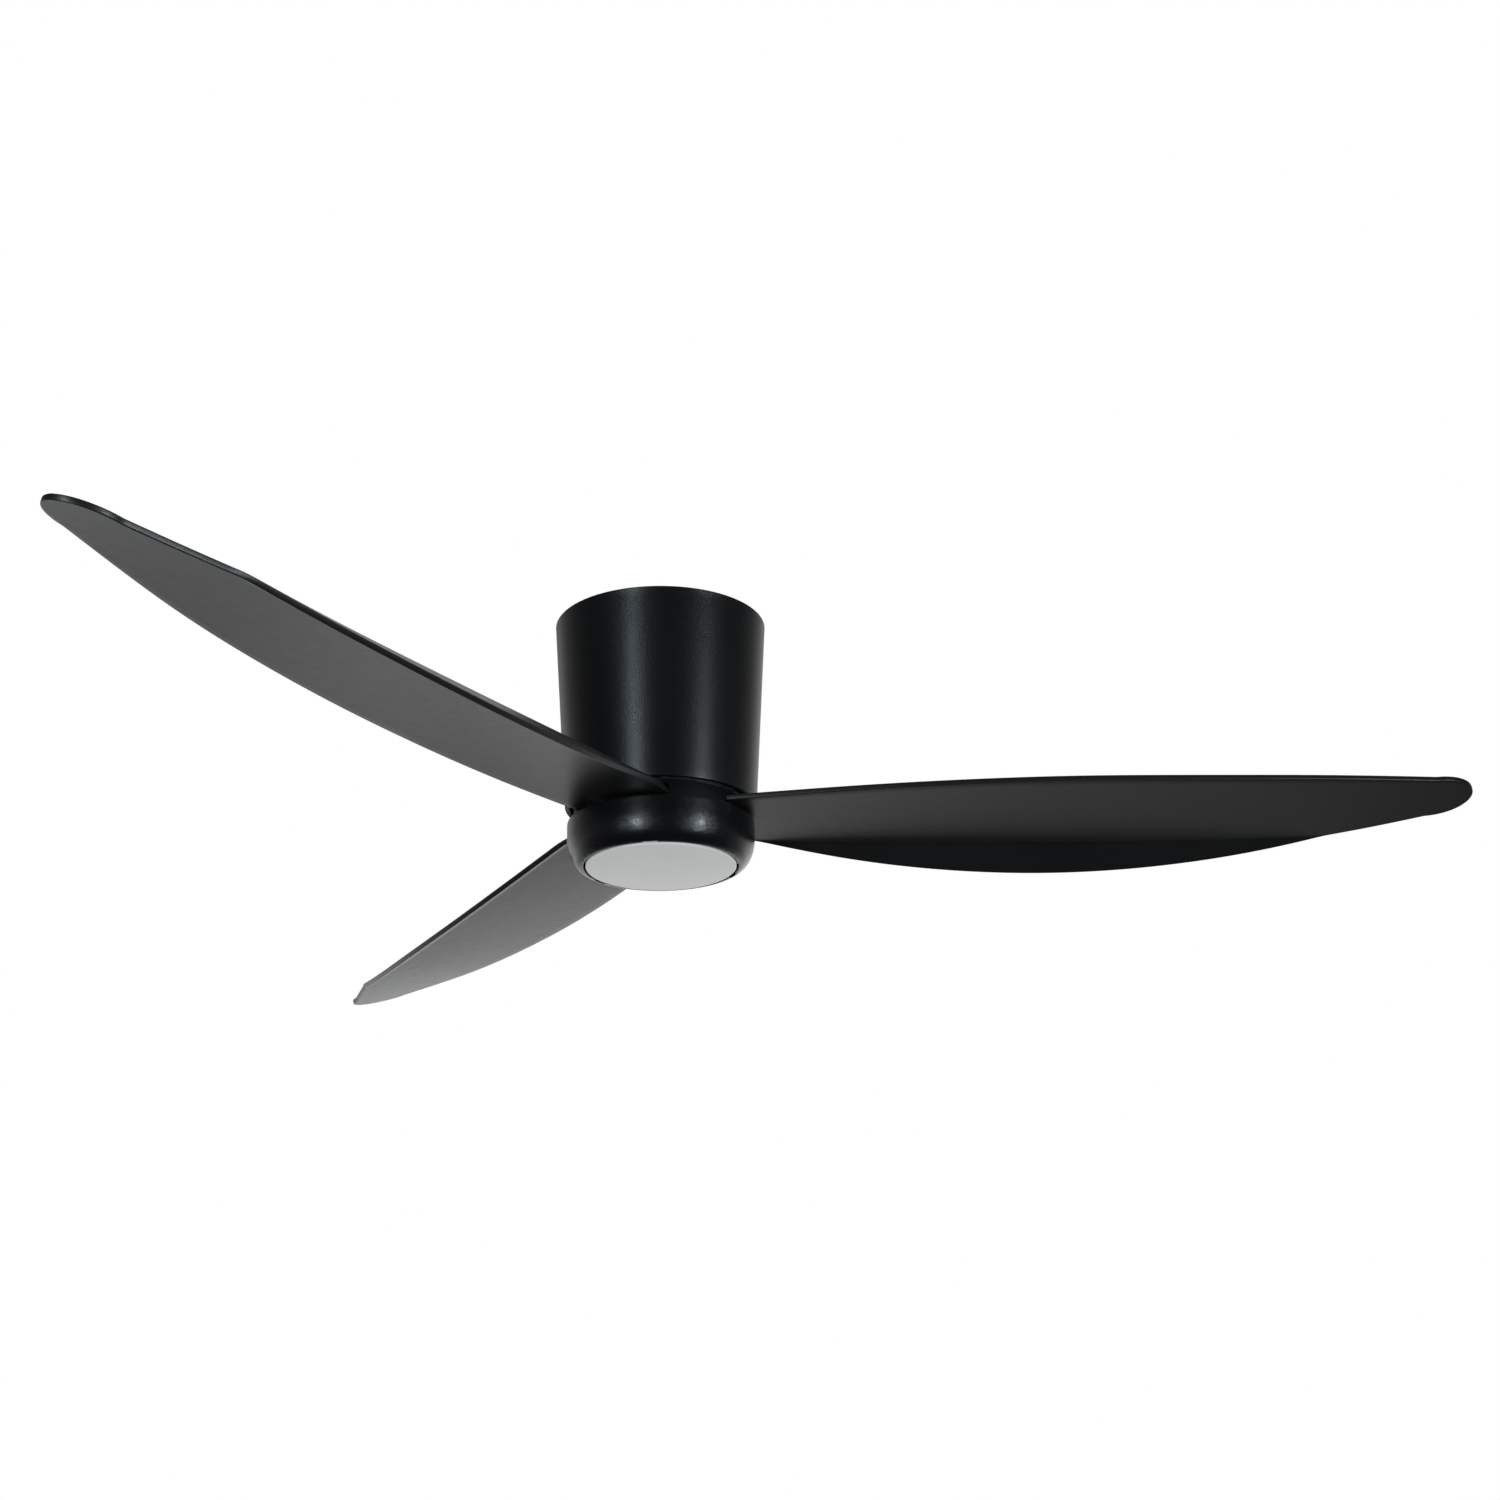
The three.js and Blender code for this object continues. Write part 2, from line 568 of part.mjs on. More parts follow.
/** Panel of the blade: a thin box shaped by its edges, its pitch and its fold. */
function bladePanel() {
  const columns = MAIN_COLUMNS + FLAP_COLUMNS;
  const panel = new THREE.BoxGeometry(1, 1, 1, BLADE_ROWS, columns, 1);
  const position = panel.attributes.position;
  for (let i = 0; i < position.count; i += 1) {
    const row = position.getX(i) + 0.5;
    const column = Math.round((position.getY(i) + 0.5) * columns);
    const r = BLADE_TIP - (BLADE_TIP - BLADE_SHOULDER) * (1 - row) ** 1.35;
    const lead = -leadEdge(r) * tipTaper(r);
    const trail = trailEdge(r) * tipTaper(r);
    const split = Math.min(FOLD_LINE, trail - (trail - lead) / columns / 3);
    const across = column <= MAIN_COLUMNS
      ? THREE.MathUtils.lerp(lead, split, column / MAIN_COLUMNS)
      : THREE.MathUtils.lerp(split, trail, (column - MAIN_COLUMNS) / FLAP_COLUMNS);
    const point = bladePoint(r, across, (position.getZ(i) + 0.5) * BLADE_T);
    position.setXYZ(i, point.x, point.y, point.z);
  }
  return panel;
}

/** A flat plate in the blade's seat, from a low to a high level above the blade's underside. */
function seatPlate({ inner, outer, half }, low, high) {
  return block([inner, -half, low], [outer, half, high]).applyMatrix4(seatMatrix());
}

const blade = cut(join([bladePanel(), seatPlate(TONGUE, 0, BLADE_T)]), bladeScrewHoles(2.4));
const bladePad = cut(seatPlate(SEAT, BLADE_T + GAP, BLADE_T + GAP + PAD_T), bladeScrewHoles(2.5));
const bladeClamp = cut(seatPlate(SEAT, -GAP - CLAMP_T, -GAP), bladeScrewHoles(2.4));

BLADE_ANGLES.forEach((angle, i) => {
  const number = i + 1;
  const arm = new THREE.Group();
  arm.rotation.z = radians(angle);
  fan.add(arm);
  addPart(`blade_${number}`, blade, 'bladeBlack', arm);
  addPart(`blade_pad_${number}`, bladePad, 'rubber', arm);
  addPart(`blade_clamp_${number}`, bladeClamp, 'zincSteel', arm);
  BLADE_SCREWS.forEach(([x, y], j) => {
    const body = screw(3.6, 2, 2, 9).translate(x, y, -CLAMP_T - 2 * GAP).applyMatrix4(seatMatrix());
    addPart(`blade_screw_${number}${'abc'[j]}`, body, 'zincSteel', arm);
  });
});

// ---------- light kit ----------

/** Flat disc with a central hole, clamped on the shaft between two nuts. */
function lightBracket() {
  const top = BRACKET_LOW + BRACKET_T;
  const holes = PAN_SCREW_ANGLES.map((angle) => rod(2.3, BRACKET_LOW - 1, top + 1,
    ...polar(PAN_SCREW_R, angle), TINY));
  return cut(ring(SHAFT_R + GAP, 34, BRACKET_LOW, top, MEDIUM), holes);
}

/** Outline of the pan's rounded lower corner, from the wall down to the mouth. */
function panCorner(steps) {
  return Array.from({ length: steps + 1 }, (_, i) => {
    const t = i / steps * Math.PI / 2;
    const r = PAN_MOUTH_R + (PAN_R - PAN_MOUTH_R) * Math.cos(t);
    return [r, PAN_WALL_END + (PAN_LOW - PAN_WALL_END) * Math.sin(t)];
  });
}

/** Black pan that carries the light: rim, wall, rounded corner, inner ledge and top plate. */
function lightPan() {
  const plateLow = PAN_PLATE_TOP - PAN_PLATE_T;
  const shell = revolve([
    [PAN_R - PAN_RIM_T, PAN_TOP], [PAN_R - PAN_SHOULDER, PAN_TOP], [PAN_R, PAN_TOP - PAN_SHOULDER],
    ...panCorner(6),
    [PAN_MOUTH_R, PAN_LEDGE_TOP], [PAN_MOUTH_R + 2.7, PAN_LEDGE_TOP], [PAN_R - 5.2, -198],
    [PAN_R - 2.2, -187], [PAN_R - 2, plateLow],
    [PAN_BORE_R, plateLow], [PAN_BORE_R, PAN_PLATE_TOP], [PAN_R - PAN_RIM_T, PAN_PLATE_TOP],
  ]);
  const posts = POST_ANGLES.flatMap((angle) => [
    rod(POST_R, BOARD_Z + BOARD_T + GAP, plateLow + 0.5, ...polar(POST_RING_R, angle), TINY),
    rod(POST_PIN_R, BOARD_Z - 1.2, plateLow, ...polar(POST_RING_R, angle), TINY),
  ]);
  const plateHoles = PAN_SCREW_ANGLES.map((angle) => rod(2.3, plateLow - 1, PAN_PLATE_TOP + 1,
    ...polar(PAN_SCREW_R, angle), TINY));
  const notch = block(
    [PAN_MOUTH_R - 4, -LUG_W / 2 - 1, PAN_LOW - 1],
    [LUG_R + 0.5, LUG_W / 2 + 1, PAN_LEDGE_TOP + 1],
  );
  const notches = BLADE_ANGLES.map((angle) => turned(notch, angle + UNLOCK_TURN));
  return cut(join([shell, ...posts]), [...plateHoles, ...notches]);
}

/** Round circuit board with its ring of small light chips underneath. */
function ledBoard() {
  const chips = [];
  for (let i = 0; i < LED_COUNT; i += 1) {
    const chip = block([LED_RING_R - 2.5, -2.5, BOARD_Z - 0.8], [LED_RING_R + 2.5, 2.5, BOARD_Z + 0.4]);
    chips.push(turned(chip, (i + 0.5) * 360 / LED_COUNT));
  }
  const holes = POST_ANGLES.map((angle) => rod(POST_PIN_R + GAP, BOARD_Z - 2, BOARD_Z + BOARD_T + 1,
    ...polar(POST_RING_R, angle), TINY));
  return cut(join([ring(0, BOARD_R, BOARD_Z, BOARD_Z + BOARD_T, MEDIUM), ...chips]), holes);
}

/** Opal cup with a slightly domed face and three locking lugs. */
function opalDiffuser() {
  const top = PAN_LEDGE_TOP + 2.7;
  const outside = DIFFUSER_DOME.map(([r, rise]) => [r, DIFFUSER_LOW + rise]);
  const inside = outside.map(([r, z]) => [Math.min(r, DIFFUSER_R - DIFFUSER_WALL), z + DIFFUSER_WALL]);
  const cup = revolve([
    ...outside, [DIFFUSER_R, DIFFUSER_LOW + 3.4], [DIFFUSER_R, top],
    [DIFFUSER_R - DIFFUSER_WALL, top], ...inside.reverse(),
  ]);
  const lugs = BLADE_ANGLES.map((angle) => turned(
    block([DIFFUSER_R - 1.4, -LUG_W / 2, PAN_LEDGE_TOP + GAP], [LUG_R, LUG_W / 2, top - 0.8]), angle,
  ));
  return join([cup, ...lugs]);
}

addPart('light_bracket', lightBracket(), 'zincSteel');
addPart('bracket_nut', hexNut(12, SHAFT_R + GAP, BRACKET_LOW - GAP - 5, BRACKET_LOW - GAP), 'zincSteel');
addPart('light_pan', lightPan(), 'powderBlack');
PAN_SCREW_ANGLES.forEach((angle, i) => {
  const seat = PAN_PLATE_TOP - PAN_PLATE_T - GAP;
  const body = screw(3.6, 2, 2, 4.2).translate(...polar(PAN_SCREW_R, angle), seat);
  addPart(`pan_screw_${i + 1}`, body, 'zincSteel');
});
addPart('led_driver', roundedBlock(-28, 18, 28, 42, -188, -180.2, 3), 'ivoryPlastic');
addPart('led_board', ledBoard(), 'ledBoard');
addPart('diffuser', opalDiffuser(), 'opal');

export default fan;
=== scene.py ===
import json
import logging
import math
from dataclasses import dataclass
from enum import Enum
from typing import Callable, Sequence

import bmesh
import bpy
from mathutils import Matrix, Vector


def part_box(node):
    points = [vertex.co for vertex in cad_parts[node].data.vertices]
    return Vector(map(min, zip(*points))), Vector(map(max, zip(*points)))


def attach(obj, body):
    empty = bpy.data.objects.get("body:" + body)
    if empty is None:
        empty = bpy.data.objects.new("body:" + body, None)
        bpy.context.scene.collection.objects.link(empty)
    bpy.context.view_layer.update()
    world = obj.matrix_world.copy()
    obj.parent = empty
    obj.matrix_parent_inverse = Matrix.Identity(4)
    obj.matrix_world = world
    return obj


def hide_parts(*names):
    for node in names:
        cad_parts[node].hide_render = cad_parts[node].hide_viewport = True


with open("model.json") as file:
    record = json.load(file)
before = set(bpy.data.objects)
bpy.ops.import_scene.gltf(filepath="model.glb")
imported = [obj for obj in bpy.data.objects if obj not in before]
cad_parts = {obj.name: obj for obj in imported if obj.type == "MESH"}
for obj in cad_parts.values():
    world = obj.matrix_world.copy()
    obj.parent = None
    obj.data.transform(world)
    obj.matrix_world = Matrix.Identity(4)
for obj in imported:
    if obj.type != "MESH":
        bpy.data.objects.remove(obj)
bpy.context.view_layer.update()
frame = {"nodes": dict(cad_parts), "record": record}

LOG = logging.getLogger("ceiling_fan")
MM = 0.001
TAU = 2 * math.pi
POLE = 0.02 * MM  # radius that stands for a pole while a profile is turned
WAVE_RATE = 20  # radians of a wave texture per unit of its scale
NOISE_LOW, NOISE_HIGH = 0.3, 0.7  # where nearly all of a noise's values lie
NOISE_ROUGHNESS = 0.55
DRIFT_SIZE = 60 * MM  # size of the slow drift in a finish's colour
SHEEN_SIZE = 9 * MM  # size of the patches of even roughness
SCATTER_REACH = 4 * MM  # how far light travels inside a body
SPECK_SHARE = 0.55  # share of a cell that a raised speck takes
SIDE_REACH = 95 * MM  # radius where drills through the canopy's side end
BLADES = 3
BLADE_TURN = 120.0  # degrees from one blade to the next

Point = tuple[float, float]
Colour = tuple[float, float, float]
Piece = bpy.types.Object


class Body(Enum):
    """The moving bodies that pieces ride on."""

    CANOPY = "canopy"
    ROTOR = "rotor"
    DIFFUSER = "diffuser"


class Grain(Enum):
    """How the fine relief of a finish is drawn."""

    PEEL = "peel"
    SATIN = "satin"
    CAST = "cast"
    BRUSHED = "brushed"
    STACKED = "stacked"
    WOUND = "wound"


# ---------- modelling moves ----------


def deselect_all() -> None:
    """Leaves nothing selected, so that the next operator acts on the new piece only."""
    for each in bpy.context.selected_objects:
        each.select_set(False)


def make_active(piece: Piece) -> None:
    """Selects one piece alone and makes it active.

    Args:
        piece: The piece that the next operators act on.
    """
    deselect_all()
    piece.select_set(True)
    bpy.context.view_layer.objects.active = piece


def edit(piece: Piece) -> None:
    """Opens a piece in edit mode.

    Args:
        piece: The piece to open.
    """
    make_active(piece)
    bpy.ops.object.mode_set(mode="EDIT")
    bpy.ops.mesh.select_mode(type="VERT")


def leave_edit() -> None:
    """Goes back to object mode."""
    bpy.ops.object.mode_set(mode="OBJECT")


def select_faces(piece: Piece, test: Callable[[Vector, Vector], bool]) -> int:
    """Selects the faces of the open piece that pass a test.

    Args:
        piece: The piece in edit mode.
        test: Says whether a face with this centre and normal is wanted.

    Returns:
        How many faces were selected.
    """
    bpy.ops.mesh.select_all(action="DESELECT")
    bpy.ops.mesh.select_mode(type="FACE")
    mesh = bmesh.from_edit_mesh(piece.data)
    wanted = [face for face in mesh.faces if test(face.calc_center_median(), face.normal)]
    for face in wanted:
        face.select_set(True)
    mesh.select_flush(True)
    bmesh.update_edit_mesh(piece.data)
    return len(wanted)


def name_new_piece(name: str) -> Piece:
    """Names the primitive just added and applies its place.

    Args:
        name: The piece's name.

    Returns:
        The new piece, its object at the origin.
    """
    piece = bpy.context.object
    piece.name = name
    piece.data.name = name
    bpy.ops.object.transform_apply(location=True, rotation=True, scale=True)
    return piece


def modify(piece: Piece, kind: str, **settings: object) -> None:
    """Adds one modifier and applies it.

    Args:
        piece: The piece to change.
        kind: The modifier's type.
        **settings: Its settings.
    """
    make_active(piece)
    modifier = piece.modifiers.new(kind.title(), kind)
    for key, value in settings.items():
        setattr(modifier, key, value)
    bpy.ops.object.modifier_apply(modifier=modifier.name)


def smooth(piece: Piece, degrees: float = 32.0) -> None:
    """Smooths a piece's faces except across edges sharper than an angle.

    Args:
        piece: The piece to shade.
        degrees: Edges sharper than this stay crisp.
    """
    make_active(piece)
    bpy.ops.object.shade_smooth_by_angle(angle=math.radians(degrees))


def turn(name: str, profile: Sequence[Point], segments: int = 192) -> Piece:
    """Turns a closed profile about the Z axis, ring by ring.

    Args:
        name: The piece's name.
        profile: Radius and height of each ring, in metres. A radius of 0 is a pole.
        segments: How many faces go round.

    Returns:
        The closed, outward-facing piece.
    """
    rings = [(max(radius, POLE), height) for radius, height in profile]
    deselect_all()
    radius, height = rings[0]
    bpy.ops.mesh.primitive_circle_add(vertices=segments, radius=radius, location=(0, 0, height))
    piece = name_new_piece(name)
    edit(piece)
    bpy.ops.mesh.select_all(action="SELECT")
    hollow = profile[0][0] > 0
    for next_radius, next_height in rings[1:] + ([rings[0]] if hollow else []):
        rise = {"value": (0, 0, next_height - height)}
        bpy.ops.mesh.extrude_region_move(TRANSFORM_OT_translate=rise)
        spread = next_radius / radius
        bpy.ops.transform.resize(value=(spread, spread, 1), center_override=(0, 0, next_height))
        radius, height = next_radius, next_height
    bpy.ops.mesh.select_all(action="SELECT")
    bpy.ops.mesh.remove_doubles(threshold=2.5 * POLE)
    bpy.ops.mesh.normals_make_consistent(inside=False)
    leave_edit()
    return piece


def arc(centre: Point, radii: Point, start: float, end: float, steps: int) -> list[Point]:
    """Points of an elliptical arc in a profile.

    Args:
        centre: Radius and height of the arc's centre.
        radii: Half width and half height of the ellipse.
        start: First angle in degrees, from the outward direction towards up.
        end: Last angle in degrees.
        steps: How many pieces the arc is divided into.

    Returns:
        The points from the first angle to the last.
    """
    angles = [math.radians(start + (end - start) * step / steps) for step in range(steps + 1)]
    return [
        (centre[0] + radii[0] * math.cos(angle), centre[1] + radii[1] * math.sin(angle))
        for angle in angles
    ]


def around(radius: float, angle: float, height: float = 0.0) -> Vector:
    """A point at a distance from the Z axis.

    Args:
        radius: Distance from the axis.
        angle: Direction from +X, in degrees.
        height: Height of the point.

    Returns:
        The point.
    """
    turned = math.radians(angle)
    return Vector((radius * math.cos(turned), radius * math.sin(turned), height))


def bar(name: str, radius: float, low: Vector, high: Vector, sides: int = 48) -> Piece:
    """A round bar between two points, used to drill and to stand posts.

    Args:
        name: The piece's name.
        radius: The bar's radius.
        low: One end.
        high: The other end.
        sides: How many faces go round.

    Returns:
        The bar.
    """
    along = high - low
    turned = along.to_track_quat("Z", "Y").to_euler()
    deselect_all()
    middle = (low + high) / 2
    bpy.ops.mesh.primitive_cylinder_add(
        vertices=sides, radius=radius, depth=along.length, location=middle, rotation=turned
    )
    return name_new_piece(name)


def side_drill(radius: float, angle: float, height: float, start: float) -> Piece:
    """A level drill that leaves through the canopy's side.

    Args:
        radius: The drill's radius.
        angle: Its direction from +X, in degrees.
        height: Its height.
        start: Distance of its inner end from the axis.

    Returns:
        The drill.
    """
    return bar("drill", radius, around(start, angle, height), around(SIDE_REACH, angle, height))


def block(name: str, low: Vector, high: Vector, angle: float = 0.0) -> Piece:
    """A block between two corners, turned about Z.

    Args:
        name: The piece's name.
        low: Lowest corner before turning.
        high: Highest corner before turning.
        angle: Turn about the Z axis in degrees.

    Returns:
        The block.
    """
    deselect_all()
    bpy.ops.mesh.primitive_cube_add(size=1, location=(low + high) / 2)
    piece = bpy.context.object
    piece.scale = high - low
    piece = name_new_piece(name)
    piece.data.transform(Matrix.Rotation(math.radians(angle), 4, "Z"))
    return piece


def combine(piece: Piece, tools: Sequence[Piece], operation: str = "DIFFERENCE") -> None:
    """Cuts tools out of a piece, or joins them to it, and removes the tools.

    Args:
        piece: The piece to change.
        tools: Closed pieces.
        operation: DIFFERENCE or UNION.
    """
    for tool in tools:
        modify(piece, "BOOLEAN", object=tool, operation=operation, solver="EXACT")
        bpy.data.objects.remove(tool, do_unlink=True)


def turned_copy(piece: Piece, name: str, angle: float) -> Piece:
    """A copy with its own mesh, turned about the Z axis.

    Args:
        piece: The piece to copy.
        name: The copy's name.
        angle: Turn in degrees.

    Returns:
        The copy, its object at the origin.
    """
    copy = piece.copy()
    copy.data = piece.data.copy()
    copy.name = name
    copy.data.name = name
    bpy.context.scene.collection.objects.link(copy)
    copy.data.transform(Matrix.Rotation(math.radians(angle), 4, "Z"))
    return copy


# ---------- finishes ----------


class Sheet:
    """A material's node sheet: adds nodes and joins their sockets."""

    def __init__(self, name: str) -> None:
        """Starts an empty material with one principled shader.

        Args:
            name: The material's name.
        """
        self.material = bpy.data.materials.new(name)
        self.material.use_nodes = True
        self.tree = self.material.node_tree
        self.shader = self.tree.nodes["Principled BSDF"]
        self.place = self.tree.nodes.new("ShaderNodeTexCoord").outputs["Object"]

    def node(
        self, kind: str, inputs: dict[str | int, object] | None = None, **settings: object
    ) -> bpy.types.Node:
        """Adds one node.

        Args:
            kind: The node's type.
            inputs: Values or sockets for its inputs.
            **settings: Its settings.

        Returns:
            The node.
        """
        node = self.tree.nodes.new(kind)
        for key, value in settings.items():
            setattr(node, key, value)
        for key, value in (inputs or {}).items():
            self.feed(node.inputs[key], value)
        return node

    def feed(self, socket: bpy.types.NodeSocket, value: object) -> None:
        """Gives an input a value or joins a socket to it.

        Args:
            socket: The input.
            value: A plain value, or the socket to join.
        """
        if isinstance(value, bpy.types.NodeSocket):
            self.tree.links.new(value, socket)
        else:
            socket.default_value = value

    def set(self, **inputs: object) -> None:
        """Sets the shader's own inputs.

        Args:
            **inputs: Values or sockets by input name, with underscores for its spaces.
        """
        for key, value in inputs.items():
            self.feed(self.shader.inputs[key.replace("_", " ")], value)

    def noise(
        self, size: float, detail: float = 3.0, stretch: Sequence[float] = (1, 1, 1)
    ) -> bpy.types.NodeSocket:
        """Cloudy noise whose spots are a given size.

        Args:
            size: The size of a spot in metres.
            detail: How many finer layers it has.
            stretch: Scale along each axis.

        Returns:
            The noise's value socket.
        """
        mapping = self.node("ShaderNodeMapping", {"Vector": self.place, "Scale": tuple(stretch)})
        inputs = {
            "Vector": mapping.outputs[0], "Scale": 1 / size, "Detail": detail,
            "Roughness": NOISE_ROUGHNESS,
        }
        return self.node("ShaderNodeTexNoise", inputs).outputs[0]

    def span(self, value: bpy.types.NodeSocket, low: float, high: float) -> bpy.types.NodeSocket:
        """Maps a noise to a range of values.

        Args:
            value: The noise.
            low: Value for its dark spots.
            high: Value for its bright spots.

        Returns:
            The mapped value's socket.
        """
        inputs = {
            "Value": value, "From Min": NOISE_LOW, "From Max": NOISE_HIGH,
            "To Min": low, "To Max": high,
        }
        return self.node("ShaderNodeMapRange", inputs).outputs[0]

    def blend(
        self, amount: bpy.types.NodeSocket, first: Colour, second: Colour
    ) -> bpy.types.NodeSocket:
        """Mixes two colours.

        Args:
            amount: Share of the second colour.
            first: One colour.
            second: The other colour.

        Returns:
            The mixed colour's socket.
        """
        node = self.node("ShaderNodeMix", data_type="RGBA")
        self.feed(node.inputs["Factor"], amount)
        self.feed(node.inputs[6], (*first, 1))
        self.feed(node.inputs[7], (*second, 1))
        return node.outputs[2]

    def relief(
        self, height: bpy.types.NodeSocket, depth: float, under: bpy.types.NodeSocket | None = None
    ) -> bpy.types.NodeSocket:
        """Turns a height into a surface normal.

        Args:
            height: The height pattern, 0 to 1.
            depth: Its full depth in metres.
            under: A normal that this relief lies on.

        Returns:
            The normal socket.
        """
        inputs = {"Strength": 1.0, "Distance": depth, "Height": height}
        node = self.node("ShaderNodeBump", inputs)
        if under is not None:
            self.feed(node.inputs["Normal"], under)
        return node.outputs[0]


@dataclass(frozen=True)
class Finish:
    """One surface finish, painted by nodes on object coordinates.

    Attributes:
        slot: The record's material slot.
        colour: The main colour.
        second: The colour that it varies towards.
        roughness: Lowest and highest roughness.
        grain: The kind of fine relief.
        grain_size: Size of a relief spot in metres.
        depth: Depth of the relief in metres.
        metallic: 1 for bare metal.
        specular: Strength of the mirror layer on a non-metal.
        subsurface: How much light goes into the body.
    """

    slot: str
    colour: Colour
    second: Colour
    roughness: tuple[float, float]
    grain: Grain
    grain_size: float
    depth: float
    metallic: float = 0.0
    specular: float = 0.5
    subsurface: float = 0.0

    def height(self, sheet: Sheet) -> bpy.types.NodeSocket:
        """The fine height pattern of this finish's grain.

        Args:
            sheet: The material being made.

        Returns:
            The height socket.
        """
        if self.grain is Grain.BRUSHED:
            return sheet.noise(self.grain_size, 2.0, (1, 14, 1))
        if self.grain is Grain.STACKED:
            return self.bands(sheet, "BANDS", bands_direction="Z")
        if self.grain is Grain.WOUND:
            return self.bands(sheet, "RINGS", rings_direction="Z")
        detail = {Grain.PEEL: 1.5, Grain.SATIN: 2.5, Grain.CAST: 6.0}[self.grain]
        return sheet.noise(self.grain_size, detail)

    def bands(self, sheet: Sheet, kind: str, **direction: str) -> bpy.types.NodeSocket:
        """Even bands or rings one grain size apart.

        Args:
            sheet: The material being made.
            kind: BANDS or RINGS.
            **direction: The wave texture's setting for the axis they follow.

        Returns:
            The height socket.
        """
        scale = TAU / (WAVE_RATE * self.grain_size)
        inputs = {"Vector": sheet.place, "Scale": scale, "Distortion": 0.6, "Detail": 1.0}
        return sheet.node("ShaderNodeTexWave", inputs, wave_type=kind, **direction).outputs[1]

    def draw(self) -> Sheet:
        """Draws the finish on a sheet of its own.

        Returns:
            The sheet.
        """
        sheet = Sheet(self.slot)
        drift = sheet.noise(DRIFT_SIZE, 3.0)
        fine = self.height(sheet)
        sheet.set(
            Base_Color=sheet.blend(sheet.span(drift, 0, 1), self.colour, self.second),
            Roughness=sheet.span(sheet.noise(SHEEN_SIZE, 4.0), *self.roughness),
            Normal=sheet.relief(fine, self.depth),
            Metallic=self.metallic,
            Specular_IOR_Level=self.specular,
            Subsurface_Weight=self.subsurface,
            Subsurface_Scale=SCATTER_REACH,
        )
        return sheet


@dataclass(frozen=True)
class PowderCoat(Finish):
    """Textured powder coat: orange peel with fine raised specks that catch the light.

    Attributes:
        speck_size: Distance between specks in metres.
        speck_depth: Height of a speck in metres.
    """

    speck_size: float = 0.7 * MM
    speck_depth: float = 0.05 * MM

    def draw(self) -> Sheet:
        """Draws the plain finish and lays the specks over it.

        Returns:
            The sheet.
        """
        sheet = super().draw()
        cells = sheet.node(
            "ShaderNodeTexVoronoi", {"Vector": sheet.place, "Scale": 1 / self.speck_size}
        )
        inputs = {
            "Value": cells.outputs[0], "From Min": 0.0, "From Max": SPECK_SHARE,
            "To Min": 1.0, "To Max": 0.0,
        }
        specks = sheet.node("ShaderNodeMapRange", inputs, interpolation_type="SMOOTHSTEP")
        peel = sheet.shader.inputs["Normal"].links[0].from_socket
        sheet.set(Normal=sheet.relief(specks.outputs[0], self.speck_depth, peel))
        return sheet


CANOPY_COAT = PowderCoat(
    "canopy_black", (0.0040, 0.0043, 0.0050), (0.0050, 0.0053, 0.0061), (0.30, 0.32),
    Grain.PEEL, 1.2 * MM, 0.05 * MM, specular=0.5, speck_size=1.3 * MM, speck_depth=0.05 * MM,
)
RING_COAT = PowderCoat(
    "light_ring_black", (0.0038, 0.0040, 0.0045), (0.0050, 0.0053, 0.0060), (0.215, 0.235),
    Grain.PEEL, 1.0 * MM, 0.05 * MM, specular=0.5, speck_size=1.2 * MM, speck_depth=0.09 * MM,
)
# The hub's black is set darker than the other black coats. Part of that is the hub's own black and
# part is painted shade for the deep gap under the canopy's bottom rim.
HUB_COAT_AND_PAINTED_SHADE = PowderCoat(
    "hub_black", (0.0022, 0.0022, 0.0025), (0.0030, 0.0030, 0.0034), (0.46, 0.54),
    Grain.PEEL, 1.0 * MM, 0.03 * MM, specular=0.14,
)
BLADE_MOULDING = Finish(
    "blade_black", (0.0068, 0.0068, 0.0071), (0.0084, 0.0084, 0.0088), (0.365, 0.395),
    Grain.SATIN, 0.9 * MM, 0.003 * MM, specular=0.5,
)
OPAL = Finish(
    "opal_diffuser", (0.74, 0.74, 0.725), (0.77, 0.77, 0.755), (0.30, 0.36),
    Grain.SATIN, 0.9 * MM, 0.006 * MM, specular=0.5, subsurface=0.25,
)
ZINC = Finish(
    "zinc_steel", (0.46, 0.46, 0.43), (0.60, 0.60, 0.56), (0.26, 0.44),
    Grain.BRUSHED, 0.9 * MM, 0.012 * MM, metallic=1.0,
)
BLACK_OXIDE = Finish(
    "black_screw", (0.022, 0.022, 0.024), (0.035, 0.035, 0.037), (0.28, 0.42),
    Grain.SATIN, 0.5 * MM, 0.01 * MM, metallic=0.7,
)
GROUND_STEEL = Finish(
    "polished_steel", (0.58, 0.59, 0.60), (0.66, 0.67, 0.68), (0.12, 0.24),
    Grain.BRUSHED, 0.5 * MM, 0.004 * MM, metallic=1.0,
)
CAST_ALUMINIUM = Finish(
    "cast_aluminium", (0.42, 0.43, 0.44), (0.55, 0.56, 0.57), (0.42, 0.60),
    Grain.CAST, 1.2 * MM, 0.08 * MM, metallic=1.0,
)
LAMINATIONS = Finish(
    "lamination_steel", (0.13, 0.13, 0.14), (0.20, 0.20, 0.21), (0.34, 0.52),
    Grain.STACKED, 0.5 * MM, 0.10 * MM, metallic=0.9,
)
FERRITE = Finish(
    "magnet_ferrite", (0.030, 0.030, 0.032), (0.050, 0.050, 0.052), (0.60, 0.78),
    Grain.CAST, 0.8 * MM, 0.05 * MM, metallic=0.3,
)
COPPER = Finish(
    "copper_wire", (0.42, 0.13, 0.045), (0.56, 0.20, 0.075), (0.24, 0.36),
    Grain.WOUND, 0.8 * MM, 0.30 * MM, metallic=1.0,
)
RUBBER = Finish(
    "rubber_black", (0.012, 0.012, 0.012), (0.020, 0.020, 0.020), (0.72, 0.88),
    Grain.SATIN, 0.6 * MM, 0.03 * MM, specular=0.35,
)
